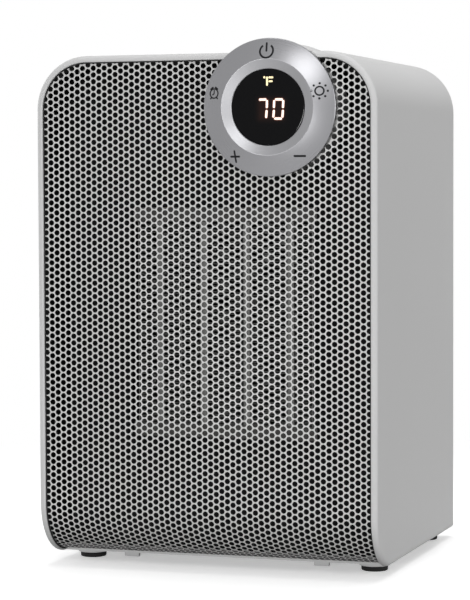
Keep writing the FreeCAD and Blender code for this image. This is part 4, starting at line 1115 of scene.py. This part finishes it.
def flat_or_smooth(bm):
    """Smooths the faces that bend softly into a neighbour, unless they are large or level."""
    for face in bm.faces:
        level = max(abs(face.normal.y), abs(face.normal.z)) > LEVEL_ENOUGH
        angles = [edge.calc_face_angle(0) for edge in face.edges if len(edge.link_faces) == 2]
        bent = any(BEND_RANGE[0] < angle < BEND_RANGE[1] for angle in angles)
        face.smooth = bent and not level and face.calc_area() < FLAT_AREA


slant = Matrix.Rotation(math.radians(VANE_SLANT), 4, "X") @ Matrix.Diagonal(VANE_SIZE)
for level in slot_levels:
    vane = bmesh.ops.create_cube(panel, size=1.0)["verts"]
    place = Matrix.Translation((0, BACK - VANE_DEPTH, level + VANE_RISE))
    bmesh.ops.transform(panel, matrix=place @ slant, verts=vane)
flat_or_smooth(panel)
done(panel, "back_panel", "cover_plastic", ["rear_cover"], smooth=False)

# %% [markdown]
# The base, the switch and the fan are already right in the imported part, but have knife-sharp edges. A copy
# of each has its triangles merged into whole faces, and then every sharp edge gets a narrow bevel, which is
# what catches the light on a real moulding.

# %% Softened mouldings
LOOSE = 0.002
NEARLY_FLAT = math.radians(0.5)
SOLID_SHARP = 40


def softened(node, name, width, slot, body="heater", below=math.inf):
    """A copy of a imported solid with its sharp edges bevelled, or only those below a level."""
    bm = bmesh.new()
    bm.from_mesh(frame["nodes"][node].data)
    bmesh.ops.scale(bm, vec=(1 / MM, 1 / MM, 1 / MM), verts=bm.verts)
    bmesh.ops.remove_doubles(bm, verts=bm.verts, dist=LOOSE)
    bmesh.ops.dissolve_limit(bm, angle_limit=NEARLY_FLAT, verts=bm.verts, edges=bm.edges)
    crisp = [edge for edge in bm.edges
             if sharper(edge, SOLID_SHARP) and all(vert.co.z < below for vert in edge.verts)]
    bevel(bm, crisp, width)
    flat_or_smooth(bm)
    done(bm, name, slot, [node], body, smooth=False)


softened("base_plate", "base_tray", 0.4, "case_plastic", below=CASE_BOTTOM - 0.1)
softened("rocker_body", "rocker_frame", 0.35, "dark_plastic")
softened("rocker_paddle", "rocker_button", 0.3, "dark_plastic", "rocker")
softened("fan_impeller", "fan_wheel", 0.25, "impeller_plastic", "fan")

# %% [markdown]
# The rocker's button carries the two usual marks, a line for on and a ring for off. They are laid on its
# two sloping halves in its own frame, then tilted and moved with it to its pivot.

# %% Rocker marks
ROCKER_TILT = math.radians(8)
ROCKER_RISE = 1.6
ROCKER_HALF = 7.5
ROCKER_FACE = 4.0
marks = bmesh.new()
bar(marks, (0, 3.0), (0, 5.2), 0.7)
hoop(marks, (0, -4.1), 1.3, 0.6, steps=24)
thicken(marks, (0, INK_THICKNESS, 0))
for vert in marks.verts:
    vert.co.y += ROCKER_FACE - ROCKER_RISE + ROCKER_RISE * abs(vert.co.z) / ROCKER_HALF
place = Matrix.Translation(pivots["rocker_throw"]) @ Matrix.Rotation(ROCKER_TILT, 4, "X")
bmesh.ops.transform(marks, matrix=place, verts=marks.verts)
done(marks, "rocker_marks", "cover_plastic", body="rocker", sharp=50)

# %% [markdown]
# Screws are lathe work up to the driver's cross. The flat top has twenty-four corners; extruding it twice
# gives a rim and a pit, and moving the corners to the cross's outline shapes the pit. Six screws hold the
# back panel and four the base.

# %% Screw with a cross
HEAD_TOP = 2.0
HEAD_STEPS = 24
CROSS_ARM = 1.2
CROSS_HALF = 0.33
PIT_STEPS = ((0.0, 1.0), (1.0, 0.75))


def cross_reach(angle):
    """How far the cross's outline lies from its middle in one direction."""
    fold = abs((angle + EIGHTH) % (2 * EIGHTH) - EIGHTH)
    if math.tan(fold) <= CROSS_HALF / CROSS_ARM:
        return CROSS_ARM / math.cos(fold)
    return CROSS_HALF / math.sin(fold)


def add_screw(bm, place, length):
    """One pan-head screw, whose head stands up its own Y axis."""
    one = bmesh.new()
    outline = [(1.4, HEAD_TOP), (1.95, 1.78), (2.5, 1.3), (2.75, 0.7), (2.8, 0), (1.5, 0),
               (1.5, 0.9 - length), (0.7, -length)]
    edges = chain(one, [(reach, height, 0) for reach, height in outline])
    turn(one, edges, (0, 0, 0), ALONG_Y, 360, HEAD_STEPS)
    weld(one)
    cap(one)
    top = max(one.faces, key=lambda face: face.calc_center_median().y)
    for sink, taper in PIT_STEPS:
        top = bmesh.ops.extrude_discrete_faces(one, faces=[top])["faces"][0]
        for vert in top.verts:
            angle = math.atan2(vert.co.z, vert.co.x)
            reach = cross_reach(angle) * taper
            vert.co = (reach * math.cos(angle), HEAD_TOP - sink, reach * math.sin(angle))
    bmesh.ops.transform(one, matrix=place, verts=one.verts)
    join(bm, one)


print("screw ready")

# %% Screws in their places
SCREW_SIDES = (-93.6, 93.6)
COVER_LEVELS = (40.0, 152.0, 246.0)
COVER_SINK = 1.0
COVER_LENGTH = 10.4
UNDER_PLACES = (-20.5, 58.5)
UNDER_LENGTH = 9.0
cover_screws = bmesh.new()
under_screws = bmesh.new()
for x in SCREW_SIDES:
    for z in COVER_LEVELS:
        add_screw(cover_screws, Matrix.Translation((x, BACK - COVER_SINK, z)), COVER_LENGTH)
    for y in UNDER_PLACES:
        place = Matrix.Translation((x, y, CASE_BOTTOM)) @ UPRIGHT.inverted()
        add_screw(under_screws, place, UNDER_LENGTH)
done(cover_screws, "cover_screws", "screw_steel", ["rear_cover_screws"])
done(under_screws, "under_screws", "screw_steel", ["base_screws"])

# %% [markdown]
# The gland is the rubber ring that the cord passes through. The tip-over pin slides in the base and feels
# for the floor. Both are turned, which gives them rounder lips than a bevelled cylinder would have.

# %% Cord gland and tip-over pin
gland_outline = [(3.6, -11.0), (5.7, -11.0), (6.0, -10.7), (6.0, -4.6), (8.3, -4.6), (8.5, -4.4),
                 (8.5, -2.45), (6.0, -2.45), (6.0, -0.5), (5.6, -0.1), (5.2, 0), (4.6, 0), (4.0, -0.4),
                 (3.6, -1.2)]
gland = bmesh.new()
lathe(gland, gland_outline, gland_middle, ALONG_Y, steps=40)
done(gland, "inlet_gland", "dark_plastic", ["cord_gland"], finishes=["foot_rubber"])

pin_axis = upright_axis("tip_plunger")
pin_low, pin_high = corners_of("tip_plunger")
collar = pin_high.z - 2.0
pin_outline = [(0, pin_low.z), (1.4, pin_low.z + 0.1), (2.4, pin_low.z + 0.6), (2.9, pin_low.z + 1.4),
               (3.0, pin_low.z + 2.2), (3.0, collar), (5.3, collar), (5.5, collar + 0.2),
               (5.5, pin_high.z - 0.2), (5.3, pin_high.z), (0, pin_high.z)]
pin = bmesh.new()
lathe(pin, pin_outline, pin_axis, ALONG_Z, steps=32)
done(pin, "tip_pin_turned", "dark_plastic", ["tip_plunger"], "tip_pin")

# %% [markdown]
# A coil spring pushes the pin out. A small circle of wire is spun round the pin and climbs a little with
# each step. On the heater its upper end stays with the switch and its lower end follows the pin, so here it
# is put on neither body.

# %% Pin spring
WIRE_RADIUS = 0.4
WIRE_SIDES = 10
COIL_TURNS = 5
COIL_STEPS = 100
coil_low, coil_high = corners_of("tip_spring")
coil_start = pin_axis + Vector(((coil_high.x - coil_low.x) / 2 - WIRE_RADIUS, 0, coil_low.z + WIRE_RADIUS))
coil_climb = coil_high.z - coil_low.z - 2 * WIRE_RADIUS
coil = bmesh.new()
wire = bmesh.ops.create_circle(coil, segments=WIRE_SIDES, radius=WIRE_RADIUS)["verts"]
bmesh.ops.transform(coil, matrix=Matrix.Translation(coil_start) @ UPRIGHT, verts=wire)
bmesh.ops.spin(coil, geom=coil.edges[:] + coil.verts[:], cent=pin_axis, axis=ALONG_Z, steps=COIL_STEPS,
               angle=2 * math.pi * COIL_TURNS, dvec=(0, 0, coil_climb / COIL_STEPS))
cap(coil)
spring = done(coil, "pin_spring", "contact_steel", ["tip_spring"], body=None)
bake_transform(spring)

# %% [markdown]
# A broad key lamp above the camera leaves the bright patch on the ring, a small low one lights the grille,
# and lamps to both sides, behind and overhead keep the other walls even. The background is plain white. As
# light it would wash the heater out, so only camera, mirror and glass rays see it at full strength.

# %% Lamps
def lamp(name, place, target, watts, width, height):
    light = bpy.data.objects.new(name, bpy.data.lights.new(name, "AREA"))
    light.data.shape = "RECTANGLE"
    light.data.energy = watts
    light.data.size = width
    light.data.size_y = height
    light.location = place
    light.rotation_euler = (Vector(target) - Vector(place)).to_track_quat("-Z", "Y").to_euler()
    scene.collection.objects.link(light)


lamp("key_lamp", (0.28, -1.60, 1.05), (0.0, -0.05, 0.18), 5.4, 0.6, 0.6)
lamp("front_lamp", (-0.01, -1.62, 0.15), (0.0, -0.05, 0.15), 11.0, 0.18, 0.26)
lamp("side_lamp", (1.60, -0.45, 0.35), (0.1, 0.0, 0.15), 10.5, 1.0, 0.8)
lamp("rear_lamp", (-0.45, 1.90, 0.14), (0.0, 0.09, 0.15), 14.0, 0.8, 0.24)
lamp("left_lamp", (-1.70, 0.10, 0.35), (-0.1, 0.0, 0.15), 8.0, 1.0, 0.8)
lamp("top_lamp", (0.0, 0.12, 1.75), (0.0, 0.0, 0.28), 11.0, 0.9, 0.9)
print("lamps", len(bpy.data.lights))

# %% World
AMBIENT = 0.31


def shown_to_viewer(tree):
    """One for camera, mirror and glass rays, nought for other light."""
    start = Signal(tree, None)
    kinds = ("Is Camera Ray", "Is Glossy Ray", "Is Transmission Ray")
    seen, shiny, through = (start.node("LightPath", {}, kind) for kind in kinds)
    return start.math("MAXIMUM", seen, start.math("MAXIMUM", shiny, through))


world = bpy.data.worlds.new("studio")
world.use_nodes = True
scene.world = world
world.node_tree.nodes.clear()
shown = shown_to_viewer(world.node_tree)
sky = shown.node("Background", {"Color": shown.blend(grey(AMBIENT), grey(1.0)), "Strength": 1.0})
shown.node("OutputWorld", {"Surface": sky})
print("world ready")

# %% [markdown]
# The heater stands on white paper that keeps its shadow. A plain plane would turn grey away from the lamps,
# so with distance it is mixed into even white. To bounced light it is dark, or the underside would glow.

# %% Floor
FLOOR_HALF = 12.0
FADE_START = 0.15
FADE_END = 0.60
BOUNCE = 0.10
FLOOR_LIFT = 0.42
place = start_finish("floor_paper")
shown = shown_to_viewer(place.tree)
x, y, z = place.axes()
fade = place.node("MapRange", {"Value": x.hypot(y), "From Min": FADE_START, "From Max": FADE_END},
                  interpolation_type="SMOOTHSTEP")
paper = place.noise(6).blend(grey(0.88), grey(0.92))
lit_paper = place.node("BsdfPrincipled", {
    "Base Color": shown.blend(grey(BOUNCE), paper),
    "Roughness": 0.9,
    "Specular IOR Level": 0.1,
    "Emission Color": shown.blend(grey(0.0), grey(FLOOR_LIFT)),
    "Emission Strength": 1.0,
})
white = place.node("Emission", {"Color": grey(1.0), "Strength": 1.0})
paper_mix = place.node("MixShader", {0: shown * fade, 1: lit_paper, 2: white})
place.node("OutputMaterial", {"Surface": paper_mix})

floor_sheet = bmesh.new()
bmesh.ops.create_grid(floor_sheet, x_segments=8, y_segments=8, size=FLOOR_HALF)
floor_mesh = bpy.data.meshes.new("floor")
floor_sheet.to_mesh(floor_mesh)
floor_sheet.free()
floor_mesh.materials.append(FINISHES["floor_paper"])
floor = bpy.data.objects.new("floor", floor_mesh)
scene.collection.objects.link(floor)
scene.view_settings.view_transform = "Standard"
print("studio ready")
